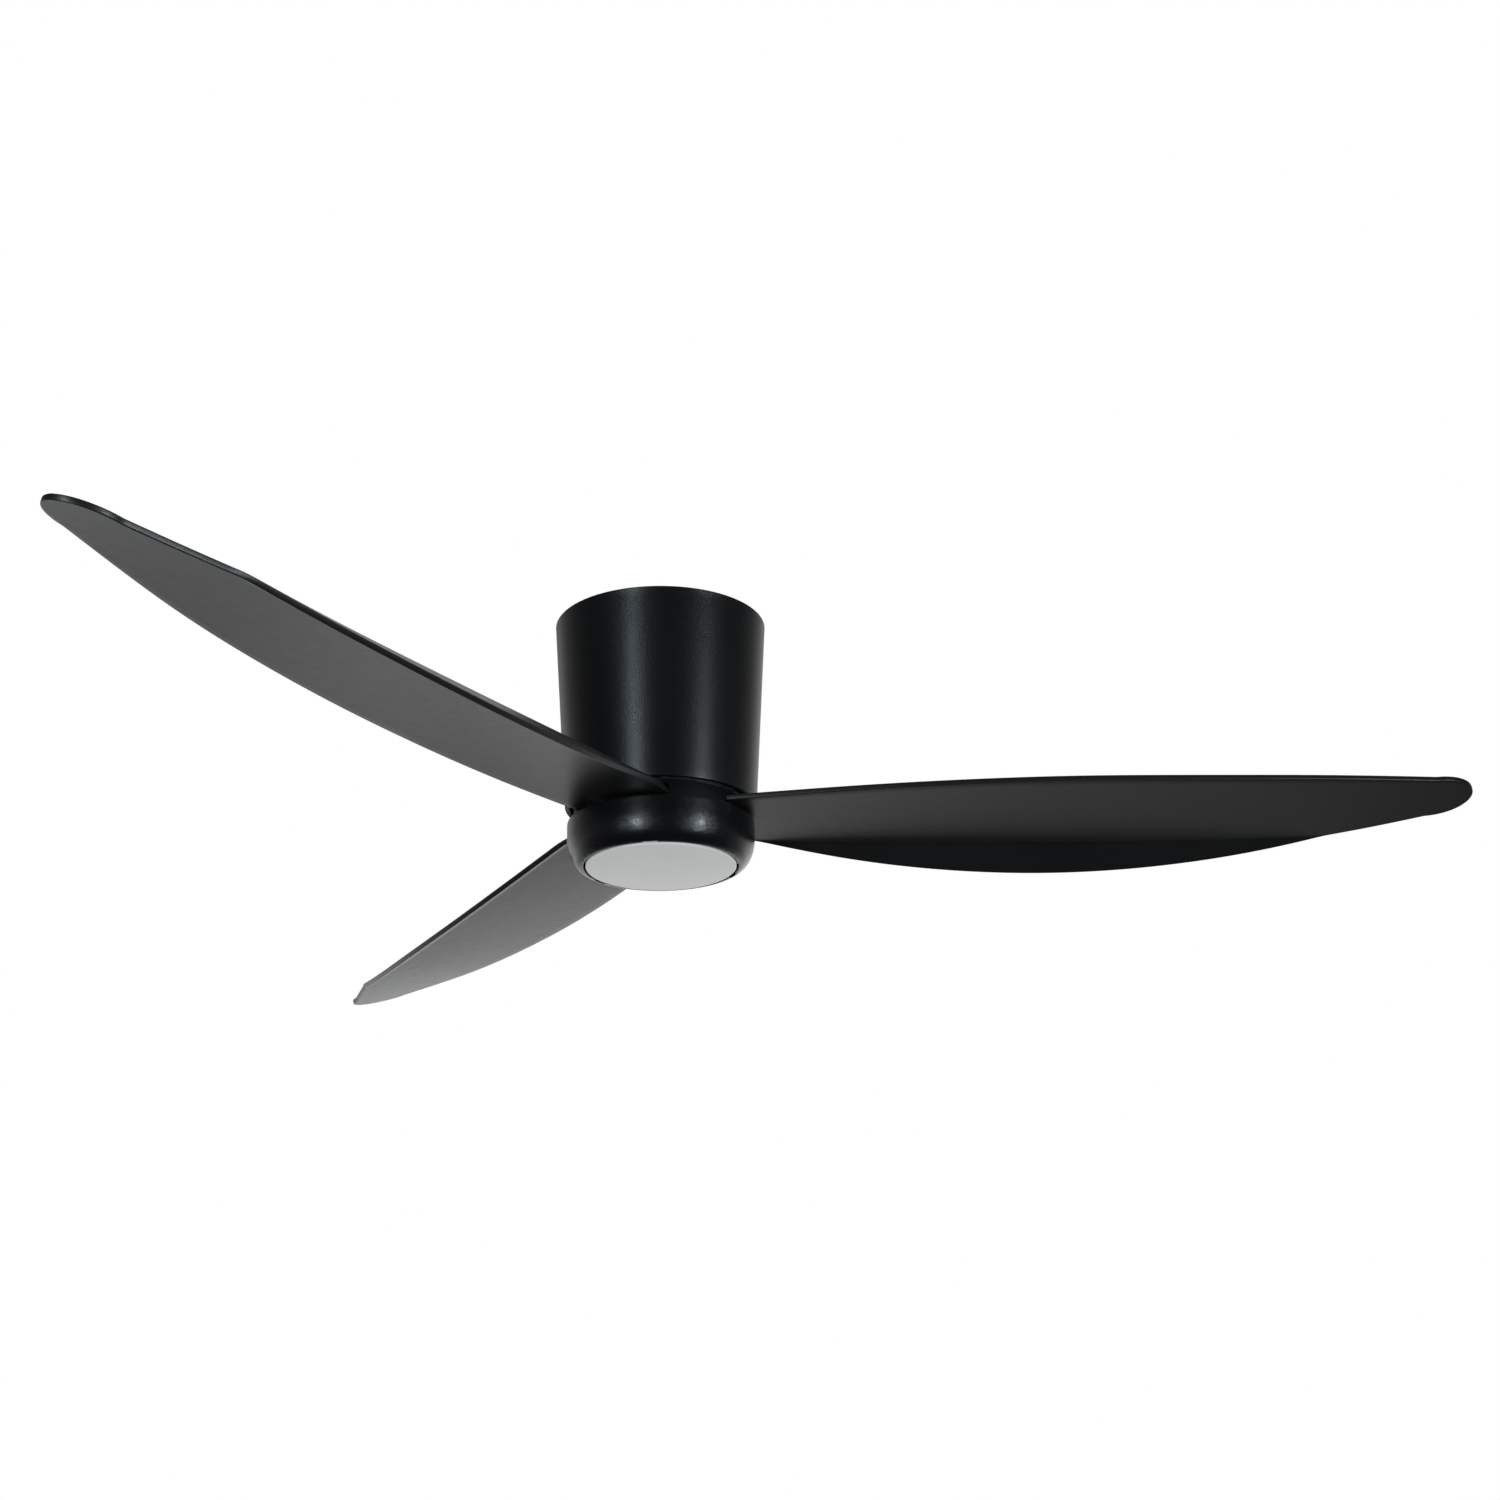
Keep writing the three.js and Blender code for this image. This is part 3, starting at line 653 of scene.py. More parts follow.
SHEATH = Finish(
    "cable_grey", (0.030, 0.033, 0.037), (0.046, 0.050, 0.055), (0.46, 0.60),
    Grain.SATIN, 0.9 * MM, 0.02 * MM, specular=0.45,
)
DARK_MOULDING = Finish(
    "dark_plastic", (0.016, 0.017, 0.018), (0.024, 0.025, 0.027), (0.48, 0.62),
    Grain.CAST, 0.5 * MM, 0.04 * MM,
)
IVORY_MOULDING = Finish(
    "ivory_plastic", (0.58, 0.54, 0.44), (0.66, 0.62, 0.52), (0.38, 0.50),
    Grain.CAST, 0.5 * MM, 0.02 * MM,
)
BOARD_MASK = Finish(
    "white_board", (0.74, 0.74, 0.71), (0.80, 0.80, 0.77), (0.36, 0.46),
    Grain.SATIN, 1.5 * MM, 0.01 * MM,
)
FINISHES = (
    CANOPY_COAT, RING_COAT, HUB_COAT_AND_PAINTED_SHADE, BLADE_MOULDING, OPAL, ZINC, BLACK_OXIDE, GROUND_STEEL,
    CAST_ALUMINIUM, LAMINATIONS, FERRITE, COPPER, RUBBER, SHEATH, DARK_MOULDING, IVORY_MOULDING,
    BOARD_MASK,
)


class Paintbox:
    """Makes each finish once and hands it out by slot."""

    def __init__(self) -> None:
        """Builds every finish."""
        self.materials = {finish.slot: finish.draw().material for finish in FINISHES}

    def dress(self, piece: Piece, slot: str) -> None:
        """Gives a piece the one material of a slot.

        Args:
            piece: The piece to dress.
            slot: The record's material slot.
        """
        piece.data.materials.clear()
        piece.data.materials.append(self.materials[slot])

    def dress_frame_nodes(self) -> None:
        """Gives every carried-over node the finish that its record names."""
        for subpart in frame["record"]["subparts"]:
            self.dress(frame["nodes"][subpart["node"]], subpart["material_slot"])


def hand_over(
    piece: Piece, body: Body, slot: str, paint: Paintbox, replaced: Sequence[str]
) -> Piece:
    """Dresses a finished piece and ties it to the frame.

    Args:
        piece: The finished piece.
        body: The body that it rides on.
        slot: The record's material slot.
        paint: The finishes.
        replaced: The nodes that it stands for.

    Returns:
        The piece.
    """
    paint.dress(piece, slot)
    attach(piece, body.value)
    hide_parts(*replaced)
    LOG.info("%s rides on %s with %d faces", piece.name, body.value, len(piece.data.polygons))
    return piece


# ---------- canopy ----------


@dataclass
class SideScrew:
    """A domed screw with a cross recess, lying along +X in the canopy's side.

    Attributes:
        head: Radius of the head.
        crown: Height of the head above its seat.
        brim: Height of the head's straight edge.
        shank: Radius of the threaded shank.
        groove: Depth of the thread.
        pitch: Distance between the thread's turns.
        turns: How many turns it has.
        length: Reach of the shank below the head.
        tip: Radius of the flat tip.
        point: Length of the sloped end.
        recess_reach: Half length of the cross recess.
        recess_width: Half width of its arms.
        recess_floor: Height of its floor.
        standoff: Gap under the head.
    """

    head: float = 4.0 * MM
    crown: float = 2.0 * MM
    brim: float = 0.5 * MM
    shank: float = 2.0 * MM
    groove: float = 0.3 * MM
    pitch: float = 0.8 * MM
    turns: int = 9
    length: float = 8.8 * MM
    tip: float = 0.8 * MM
    point: float = 0.4 * MM
    recess_reach: float = 2.1 * MM
    recess_width: float = 0.45 * MM
    recess_floor: float = 0.7 * MM
    standoff: float = 0.3 * MM

    def profile(self) -> list[Point]:
        """The section of head and shank, head up.

        Returns:
            Radius and height of each ring.
        """
        thread = []
        for i in range(self.turns):
            start = -i * self.pitch
            thread += [
                (self.shank, start - self.pitch / 2),
                (self.shank - self.groove, start - self.pitch),
            ]
        return [
            (0, self.crown), *arc((0, self.brim), (self.head, self.crown - self.brim), 75, 0, 8),
            (self.head, 0.0), (self.shank, 0.0), *thread,
            (self.tip, self.point - self.length), (0, -self.length),
        ]

    def make(self, seat: float, height: float) -> Piece:
        """Makes the screw and lays it along a radius at angle 0.

        Args:
            seat: Radius of the canopy under the head.
            height: Height of the screw's axis.

        Returns:
            The screw.
        """
        piece = turn("canopy_screw", self.profile(), 40)
        low = Vector((-self.recess_reach, -self.recess_width, self.recess_floor))
        high = Vector((self.recess_reach, self.recess_width, self.crown + MM))
        combine(piece, [block("recess", low, high, angle) for angle in (0, 90)])
        smooth(piece)
        lie = Matrix.Rotation(math.pi / 2, 4, "Y")
        piece.data.transform(Matrix.Translation((seat + self.standoff, 0, height)) @ lie)
        return piece


@dataclass
class CeilingPlate:
    """The pressed disc under the ceiling, with screw slots, a cable hole and three tabs.

    Attributes:
        radius: Radius of the disc.
        thick: Its thickness.
        edge: Radius of its rounded edge.
        tab_angles: Where the tabs are, in degrees.
        tab_face: Distance of a tab's outer face from the axis.
        tab_root: How far a tab reaches into the disc.
        tab_half: Half width of a tab.
        tab_thick: Thickness of a tab's leg.
        tab_drop: Reach of the leg below the ceiling.
        cable_hole: Radius of the cable's hole.
        cable_place: Its centre.
        slot_offset: Distance of a screw slot from the axis.
        slot_half: Half length of a slot between the centres of its ends.
        slot_width: Half width of a slot.
        frame_hole: Radius of a hanger frame screw's hole.
        frame_offset: Distance of that hole from the axis.
        tapped_hole: Radius of the side screw's hole in a tab.
        tapped_from: Distance of that hole's inner end from the axis.
        clear: How far the drills reach below the disc.
        step: How much further the cutters of the slots' round ends reach.
        hair: Small step that keeps joined faces apart.
    """

    radius: float = 80 * MM
    thick: float = 3 * MM
    edge: float = 0.5 * MM
    tab_angles: tuple[float, ...] = (30, 150, 270)
    tab_face: float = 83.2 * MM
    tab_root: float = 8 * MM
    tab_half: float = 8 * MM
    tab_thick: float = 2 * MM
    tab_drop: float = 18 * MM
    cable_hole: float = 9 * MM
    cable_place: Point = (-38 * MM, 30 * MM)
    slot_offset: float = 62 * MM
    slot_half: float = 8 * MM
    slot_width: float = 3 * MM
    frame_hole: float = 2.8 * MM
    frame_offset: float = 60 * MM
    tapped_hole: float = 2.4 * MM
    tapped_from: float = 74 * MM
    clear: float = 2 * MM
    step: float = 0.2 * MM
    hair: float = 0.02 * MM

    def tabs(self) -> list[Piece]:
        """The three tabs, each an ear in the disc and a leg that hangs from it.

        Returns:
            The ears and legs.
        """
        pieces = []
        for angle in self.tab_angles:
            low = Vector((self.radius - self.tab_root, -self.tab_half, self.hair - self.thick))
            high = Vector((self.tab_face, self.tab_half, -self.hair))
            pieces.append(block("ear", low, high, angle))
            half = self.tab_half - self.hair
            low = Vector((self.tab_face - self.tab_thick, -half, -self.tab_drop))
            high = Vector((self.tab_face - self.hair, half, -MM))
            pieces.append(block("leg", low, high, angle))
        return pieces

    def drill(self, x: float, y: float, radius: float, more: float = 0.0) -> Piece:
        """An upright drill through the disc.

        Args:
            x: Its place along X.
            y: Its place along Y.
            radius: Its radius.
            more: Extra length at both ends.

        Returns:
            The drill.
        """
        low, high = -self.thick - self.clear - more, MM + more
        return bar("drill", radius, Vector((x, y, low)), Vector((x, y, high)))

    def openings(self, screw_angles: Sequence[float], screw_height: float) -> list[Piece]:
        """The cutters for the cable hole, the slots and the screw holes.

        Args:
            screw_angles: Where the side screws sit, in degrees.
            screw_height: Height of their axes.

        Returns:
            The cutters.
        """
        cutters = [self.drill(*self.cable_place, self.cable_hole)]
        for side in (-1, 1):
            middle = side * self.slot_offset
            low = Vector((-self.slot_half, middle - self.slot_width, -self.thick - self.clear))
            high = Vector((self.slot_half, middle + self.slot_width, MM))
            cutters.append(block("slot", low, high))
            for end in (-self.slot_half, self.slot_half):
                cutters.append(self.drill(end, middle, self.slot_width, self.step))
            cutters.append(self.drill(side * self.frame_offset, 0, self.frame_hole))
        for angle in screw_angles:
            cutters.append(side_drill(self.tapped_hole, angle, screw_height, self.tapped_from))
        return cutters

    def make(self, screw_angles: Sequence[float], screw_height: float) -> Piece:
        """Makes the plate.

        Args:
            screw_angles: Where the side screws sit, in degrees.
            screw_height: Height of their axes.

        Returns:
            The plate.
        """
        corner, edge = self.radius - self.edge, (self.edge, self.edge)
        profile = [
            (0, 0), *arc((corner, -self.edge), edge, 90, 0, 4),
            *arc((corner, self.edge - self.thick), edge, 0, -90, 4), (0, -self.thick),
        ]
        piece = turn("ceiling_disc", profile, 192)
        combine(piece, self.tabs(), "UNION")
        combine(piece, self.openings(screw_angles, screw_height))
        smooth(piece)
        return piece


@dataclass
class Canopy:
    """The tapered tube that hides the motor, its ceiling plate and its side screws.

    Attributes:
        taper: Bottom radius as a share of the top radius.
        wall: Wall thickness.
        lip: How far the bottom lip reaches inwards.
        edge: Radius of the rims' rounded edges.
        rings: Faces down the wall.
        hole: Radius of a side screw's hole.
        hole_from: Distance of that hole's inner end from the axis.
        screw_angles: Where the side screws sit, in degrees.
    """

    taper: float = 77.3 / 86.6
    wall: float = 1.6 * MM
    lip: float = 3.8 * MM
    edge: float = 0.6 * MM
    rings: int = 24
    hole: float = 2.6 * MM
    hole_from: float = 70 * MM
    screw_angles: tuple[float, ...] = (30.0, 150.0)

    def __post_init__(self) -> None:
        """Reads the shell's size and the height of its screws from the frame."""
        low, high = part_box("canopy_shell")
        self.low, self.high, self.top_radius = low.z, high.z, high.x
        self.low_radius = self.top_radius * self.taper
        low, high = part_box("canopy_screw_1")
        self.screw_height = (low.z + high.z) / 2

    def radius_at(self, height: float) -> float:
        """Outer radius of the tube.

        Args:
            height: Where it is wanted.

        Returns:
            The radius.
        """
        share = (self.high - height) / (self.high - self.low)
        return self.top_radius + (self.low_radius - self.top_radius) * share

    def shell(self) -> Piece:
        """The tube with rounded rims, a bottom lip and its screw holes.

        Returns:
            The shell.
        """
        edge, wall = self.edge, self.wall
        start, end = self.high - 2 * edge, self.low + 2 * edge
        heights = [start + (end - start) * i / self.rings for i in range(self.rings + 1)]
        rim, lip_radius = self.top_radius - wall / 2, self.low_radius - self.lip
        profile = [
            *arc((rim, self.high - wall / 2), (wall / 2, wall / 2), 180, 0, 10),
            *[(self.radius_at(height), height) for height in heights],
            *arc((self.low_radius - edge, self.low + edge), (edge, edge), 0, -90, 5),
            *arc((lip_radius + edge, self.low + edge), (edge, edge), -90, -180, 5),
            (lip_radius, self.low + wall), (self.low_radius - wall, self.low + wall),
        ]
        piece = turn("canopy_skin", profile, 256)
        drills = [
            side_drill(self.hole, angle, self.screw_height, self.hole_from)
            for angle in self.screw_angles
        ]
        combine(piece, drills)
        smooth(piece)
        return piece

    def build(self, paint: Paintbox) -> None:
        """Builds and dresses the shell, the plate and the side screws.

        Args:
            paint: The finishes.
        """
        hand_over(self.shell(), Body.CANOPY, "canopy_black", paint, ["canopy_shell"])
        plate = CeilingPlate().make(self.screw_angles, self.screw_height)
        hand_over(plate, Body.CANOPY, "zinc_steel", paint, ["ceiling_plate"])
        master = SideScrew().make(self.radius_at(self.screw_height), self.screw_height)
        for number, angle in enumerate(self.screw_angles, 1):
            screw = turned_copy(master, f"side_screw_{number}", angle)
            hand_over(screw, Body.CANOPY, "black_screw", paint, [f"canopy_screw_{number}"])
        bpy.data.objects.remove(master, do_unlink=True)


# ---------- blade hub ----------


@dataclass
class BladeHub:
    """The slim drum that carries the blades, with three wide slots.

    Attributes:
        wall: Thickness of the drum wall.
        plate: Thickness of its top plate.
        bore: Radius of the middle hole.
        slot_from: Distance of a slot's inner end from the axis.
        slot_lead: Slot reach on the leading side of a blade's radial line.
        slot_trail: Slot reach on the trailing side.
        slot_gap: Step between a slot and the top plate.
        edge: Radius of the rounded rims.
        bevel: Width of the bevel on the slots' edges.
    """

    wall: float = 4 * MM
    plate: float = 3.1 * MM
    bore: float = 24 * MM
    slot_from: float = 20 * MM
    slot_lead: float = 45.2 * MM
    slot_trail: float = 43.2 * MM
    slot_gap: float = 0.01 * MM
    edge: float = 0.7 * MM
    bevel: float = 0.35 * MM

    def build(self, paint: Paintbox) -> None:
        """Builds and dresses the drum.

        Args:
            paint: The finishes.
        """
        low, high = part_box("blade_hub")
        radius, edge, inner = high.x, self.edge, high.x - self.wall
        ceiling = high.z - self.plate
        profile = [
            (self.bore, high.z), *arc((radius - edge, high.z - edge), (edge, edge), 90, 0, 5),
            *arc((radius - edge, low.z + edge), (edge, edge), 0, -90, 5), (inner, low.z),
            (inner, ceiling), (self.bore, ceiling),
        ]
        drum = turn("hub_drum", profile, 240)
        slots = []
        for number in range(BLADES):
            floor = Vector((self.slot_from, -self.slot_lead, low.z - MM))
            roof = Vector((radius + 5 * MM, self.slot_trail, ceiling - self.slot_gap))
            slots.append(block("slot", floor, roof, number * BLADE_TURN))
        combine(drum, slots)
        sharp = math.radians(60)
        modify(
            drum, "BEVEL", width=self.bevel, segments=2, limit_method="ANGLE", angle_limit=sharp
        )
        smooth(drum, 30)
        hand_over(drum, Body.ROTOR, "hub_black", paint, ["blade_hub"])


# ---------- blades ----------


def through(stations: Sequence[Point]) -> Callable[[float], float]:
    """A smooth curve through stations, held level beyond its ends.

    Args:
        stations: Place and value pairs in rising order of place.

    Returns:
        A function from place to value, a natural cubic spline.
    """
    xs = [x for x, _ in stations]
    ys = [y for _, y in stations]
    last = len(xs) - 1
    slopes, share = [0.0] * (last + 1), [0.0] * (last + 1)
    for i in range(1, last):
        weight = (xs[i] - xs[i - 1]) / (xs[i + 1] - xs[i - 1])
        scale = weight * slopes[i - 1] + 2
        slopes[i] = (weight - 1) / scale
        rise = (ys[i + 1] - ys[i]) / (xs[i + 1] - xs[i]) - (ys[i] - ys[i - 1]) / (xs[i] - xs[i - 1])
        share[i] = (6 * rise / (xs[i + 1] - xs[i - 1]) - weight * share[i - 1]) / scale
    curve = [0.0] * (last + 1)
    for i in range(last - 1, 0, -1):
        curve[i] = slopes[i] * curve[i + 1] + share[i]

    def value(x: float) -> float:
        """The spline's value.

        Args:
            x: The place.

        Returns:
            The value there.
        """
        x = min(max(x, xs[0]), xs[-1])
        i = next(k for k in range(last) if x <= xs[k + 1])
        width = xs[i + 1] - xs[i]
        a, b = (xs[i + 1] - x) / width, (x - xs[i]) / width
        bend = ((a**3 - a) * curve[i] + (b**3 - b) * curve[i + 1]) * width * width / 6
        return a * ys[i] + b * ys[i + 1] + bend

    return value


@dataclass
class Blade:
    """One folded blade along +X: bulged edges, growing pitch, round tip and a bent trailing flap.

    All lengths are in millimetres until place() makes metres of them.

    Attributes:
        tip: Radius of the tip circle.
        tip_margin: Reach past the tip that keeps its last row from closing.
        tip_start: Radius where the outline starts to round off.
        shoulder: Radius where the wide panel begins.
        thick: Thickness.
        edge: Radius of the rounded edges.
        fold: Distance of the fold behind the radial line.
        fold_turn: Angle of the fold at the radius fold_from, in radians.
        fold_easing: How much the fold opens for each millimetre outwards.
        fold_from: Radius where the fold has its full angle.
        bend_radius: Inside radius of the fold.
        bend_half: Half width of the strip of close columns at the fold.
        probe: Step in radius that the outline's slant is measured over.
        rows: Faces along the blade.
        row_easing: How much closer the rows get towards the tip.
        columns_across: Faces across the main panel, the fold and the flap.
        rim_shares: Places of the columns in an edge's rounding, as shares of its width.
        rim_limit: Widest that an edge's rounding gets, as a share of the chord.
        bend_limits: Least distance of the fold's columns from the trailing edge's rounding, at
            both ends of the strip, as shares of the chord.
        lead: Reach of the leading edge at stations along the blade.
        trail: Reach of the trailing edge.
        height: Height of the radial line.
        pitch: Angle of the main panel, in radians.
        tongue: Half width and length of the tongue at the root.
        screw_places: Where its three screws go.
        screw_hole: Radius of their holes.
        screw_reach: Half length of their drills.
    """

    tip: float = 657.0
    tip_margin: float = 0.03
    tip_start: float = 623.0
    shoulder: float = 50.0
    thick: float = 4.2
    edge: float = 0.8
    fold: float = 47.5
    fold_turn: float = 0.68
    fold_easing: float = 0.00045
    fold_from: float = 60.0
    bend_radius: float = 9.0
    bend_half: float = 4.0
    probe: float = 0.5
    rows: int = 150
    row_easing: float = 1.5
    columns_across: tuple[int, int, int] = (14, 10, 5)
    rim_shares: tuple[float, ...] = (0.0, 0.1, 0.32, 0.65)
    rim_limit: float = 0.16
    bend_limits: Point = (0.10, 0.03)
    lead: tuple[Point, ...] = (
        (50, 43.4), (150, 56.4), (240, 62.7), (330, 63.4), (420, 57.9), (510, 47.3), (623, 25.5),
    )
    trail: tuple[Point, ...] = (
        (50, 41.3), (150, 64), (240, 75.6), (330, 78.1), (420, 71), (510, 55.3), (623, 26.4),
    )
    height: tuple[Point, ...] = (
        (50, -169.3), (200, -171.4), (350, -172.7), (500, -171.2), (657, -161.9),
    )
    pitch: tuple[Point, ...] = ((50, 0.033), (250, 0.1), (450, 0.162), (657, 0.262))
    tongue: Point = (26, 26)
    screw_places: tuple[Point, ...] = ((32, 0), (45, 16), (45, -16))
    screw_hole: float = 2.4
    screw_reach: float = 14

    def __post_init__(self) -> None:
        """Prepares the smooth curves along the blade."""
        self.lead_at = through(self.lead)
        self.trail_at = through(self.trail)
        self.height_at = through(self.height)
        self.pitch_at = through(self.pitch)

    def reach(self, radius: float) -> Point:
        """Reach of both edges, drawn in at the tip.

        Args:
            radius: Distance from the fan's axis.

        Returns:
            Reach of the leading and of the trailing edge.
        """
        share = (radius - self.tip_start) / (self.tip + self.tip_margin - self.tip_start)
        taper = math.sqrt(1 - max(0.0, share) ** 2)
        return self.lead_at(radius) * taper, self.trail_at(radius) * taper

    def slant(self, radius: float) -> Point:
        """How much longer both edges are than the radial line there.

        Args:
            radius: Distance from the fan's axis.

        Returns:
            The factor for the leading and for the trailing edge.
        """
        lead, trail = self.reach(radius)
        lead_before, trail_before = self.reach(radius - self.probe)
        return (
            math.hypot(1, (lead_before - lead) / self.probe),
            math.hypot(1, (trail_before - trail) / self.probe),
        )

    def columns(self, radius: float) -> list[float]:
        """Places across the blade, close together at both edges and at the fold.

        Args:
            radius: Distance from the fan's axis.

        Returns:
            Distances behind the radial line, from the leading to the trailing edge.
        """
        lead, trail = self.reach(radius)
        lead_slant, trail_slant = self.slant(radius)
        chord = lead + trail
        lead_rim = min(self.edge * lead_slant, chord * self.rim_limit)
        trail_rim = min(self.edge * trail_slant, chord * self.rim_limit)
        start, end = lead_rim - lead, trail - trail_rim
        bend_start = min(self.fold - self.bend_half, end - self.bend_limits[0] * chord)
        bend_end = min(self.fold + self.bend_half, end - self.bend_limits[1] * chord)
        marks = (start, bend_start, bend_end, end)
        middle = [start]
        for first, last, count in zip(marks, marks[1:], self.columns_across):
            middle += [first + (last - first) * i / count for i in range(1, count + 1)]
        near = [lead_rim * share - lead for share in self.rim_shares]
        far = [trail - trail_rim * share for share in reversed(self.rim_shares)]
        return near + middle + far

    def lift(self, radius: float, across: float, side: float) -> float:
        """Height of the rounded surface above the underside plane.

        Args:
            radius: Distance from the fan's axis.
            across: Distance behind the radial line.
            side: 0 for the underside, 1 for the top.

        Returns:
            The height.
        """
        lead, trail = self.reach(radius)
        lead_slant, trail_slant = self.slant(radius)
        to_lead, to_trail = (across + lead) / lead_slant, (trail - across) / trail_slant
        inset = max(0.0, min(to_lead, to_trail, self.edge))
        drop = self.edge - math.sqrt(self.edge**2 - (self.edge - inset) ** 2)
        return self.thick - drop if side > 0.5 else drop

    def place(self, radius: float, across: float, lift: float) -> Vector:
        """A point of the blade in metres.

        Args:
            radius: Distance from the fan's axis.
            across: Distance behind the radial line, along the bent section.
            lift: Height above the underside.

        Returns:
            The point.
        """
        pitch, bend = self.pitch_at(radius), self.bend_radius
        fold = self.fold_turn - self.fold_easing * (radius - self.fold_from)
        start = self.fold - bend * math.tan(fold / 2)
        flat = min(across, start)
        turned = min(max((across - start) / bend, 0.0), fold)
        beyond = max(across - start - bend * fold, 0.0)
        slope = pitch + turned
        y = flat * math.cos(pitch)
        y += bend * (math.sin(slope) - math.sin(pitch)) + beyond * math.cos(slope)
        z = -flat * math.sin(pitch)
        z -= bend * (math.cos(pitch) - math.cos(slope)) + beyond * math.sin(slope)
        z += self.height_at(radius)
        return Vector((radius, y + lift * math.sin(slope), z + lift * math.cos(slope))) * MM

    def panel(self) -> Piece:
        """The wide panel: a grid raised to a thin box and then shaped.

        Returns:
            The closed panel, its tongue not yet drawn.
        """
        across = len(self.columns(self.shoulder)) - 1
        deselect_all()
        bpy.ops.mesh.primitive_grid_add(x_subdivisions=self.rows, y_subdivisions=across, size=2)
        piece = name_new_piece("blade")
        edit(piece)
        bpy.ops.mesh.select_all(action="SELECT")
        bpy.ops.mesh.extrude_region_move(TRANSFORM_OT_translate={"value": (0, 0, 1)})
        bpy.ops.mesh.select_all(action="SELECT")
        bpy.ops.mesh.normals_make_consistent(inside=False)
        leave_edit()
        span = self.tip - self.shoulder
        radii = [
            self.tip - span * (1 - i / self.rows) ** self.row_easing for i in range(self.rows + 1)
        ]
        columns = [self.columns(radius) for radius in radii]
        for vertex in piece.data.vertices:
            row = round((vertex.co.x + 1) / 2 * self.rows)
            column = round((vertex.co.y + 1) / 2 * across)
            radius, back = radii[row], columns[row][column]
            vertex.co = self.place(radius, back, self.lift(radius, back, vertex.co.z))
        return piece

    def draw_tongue(self, piece: Piece) -> None:
        """Draws the narrow tongue out of the root and drills its screw holes.

        Args:
            piece: The shaped panel.
        """
        edit(piece)
        root = (self.shoulder + 1) * MM
        half, length = self.tongue[0] * MM, self.tongue[1] * MM
        select_faces(
            piece,
            lambda centre, normal: normal.x < -0.9 and abs(centre.y) < half and centre.x < root,
        )
        bpy.ops.mesh.extrude_region_move(TRANSFORM_OT_translate={"value": (-length, 0, 0)})
        leave_edit()
        level = Matrix.Translation((0, 0, self.height[0][1] * MM))
        seat = level @ Matrix.Rotation(-self.pitch[0][1], 4, "X")
        drills = []
        for x, y in self.screw_places:
            low = Vector((x, y, -self.screw_reach)) * MM
            high = Vector((x, y, self.screw_reach)) * MM
            drills.append(bar("drill", self.screw_hole * MM, seat @ low, seat @ high, 24))
        combine(piece, drills)

    def build(self, paint: Paintbox) -> None:
        """Builds one blade and sets three copies round the hub.

        Args:
            paint: The finishes.
        """
        master = self.panel()
        self.draw_tongue(master)
        smooth(master, 40)
        for number in range(BLADES):
            name = f"blade_panel_{number + 1}"
            copy = turned_copy(master, name, number * BLADE_TURN)
            hand_over(copy, Body.ROTOR, "blade_black", paint, [f"blade_{number + 1}"])
        bpy.data.objects.remove(master, do_unlink=True)


# ---------- light ----------


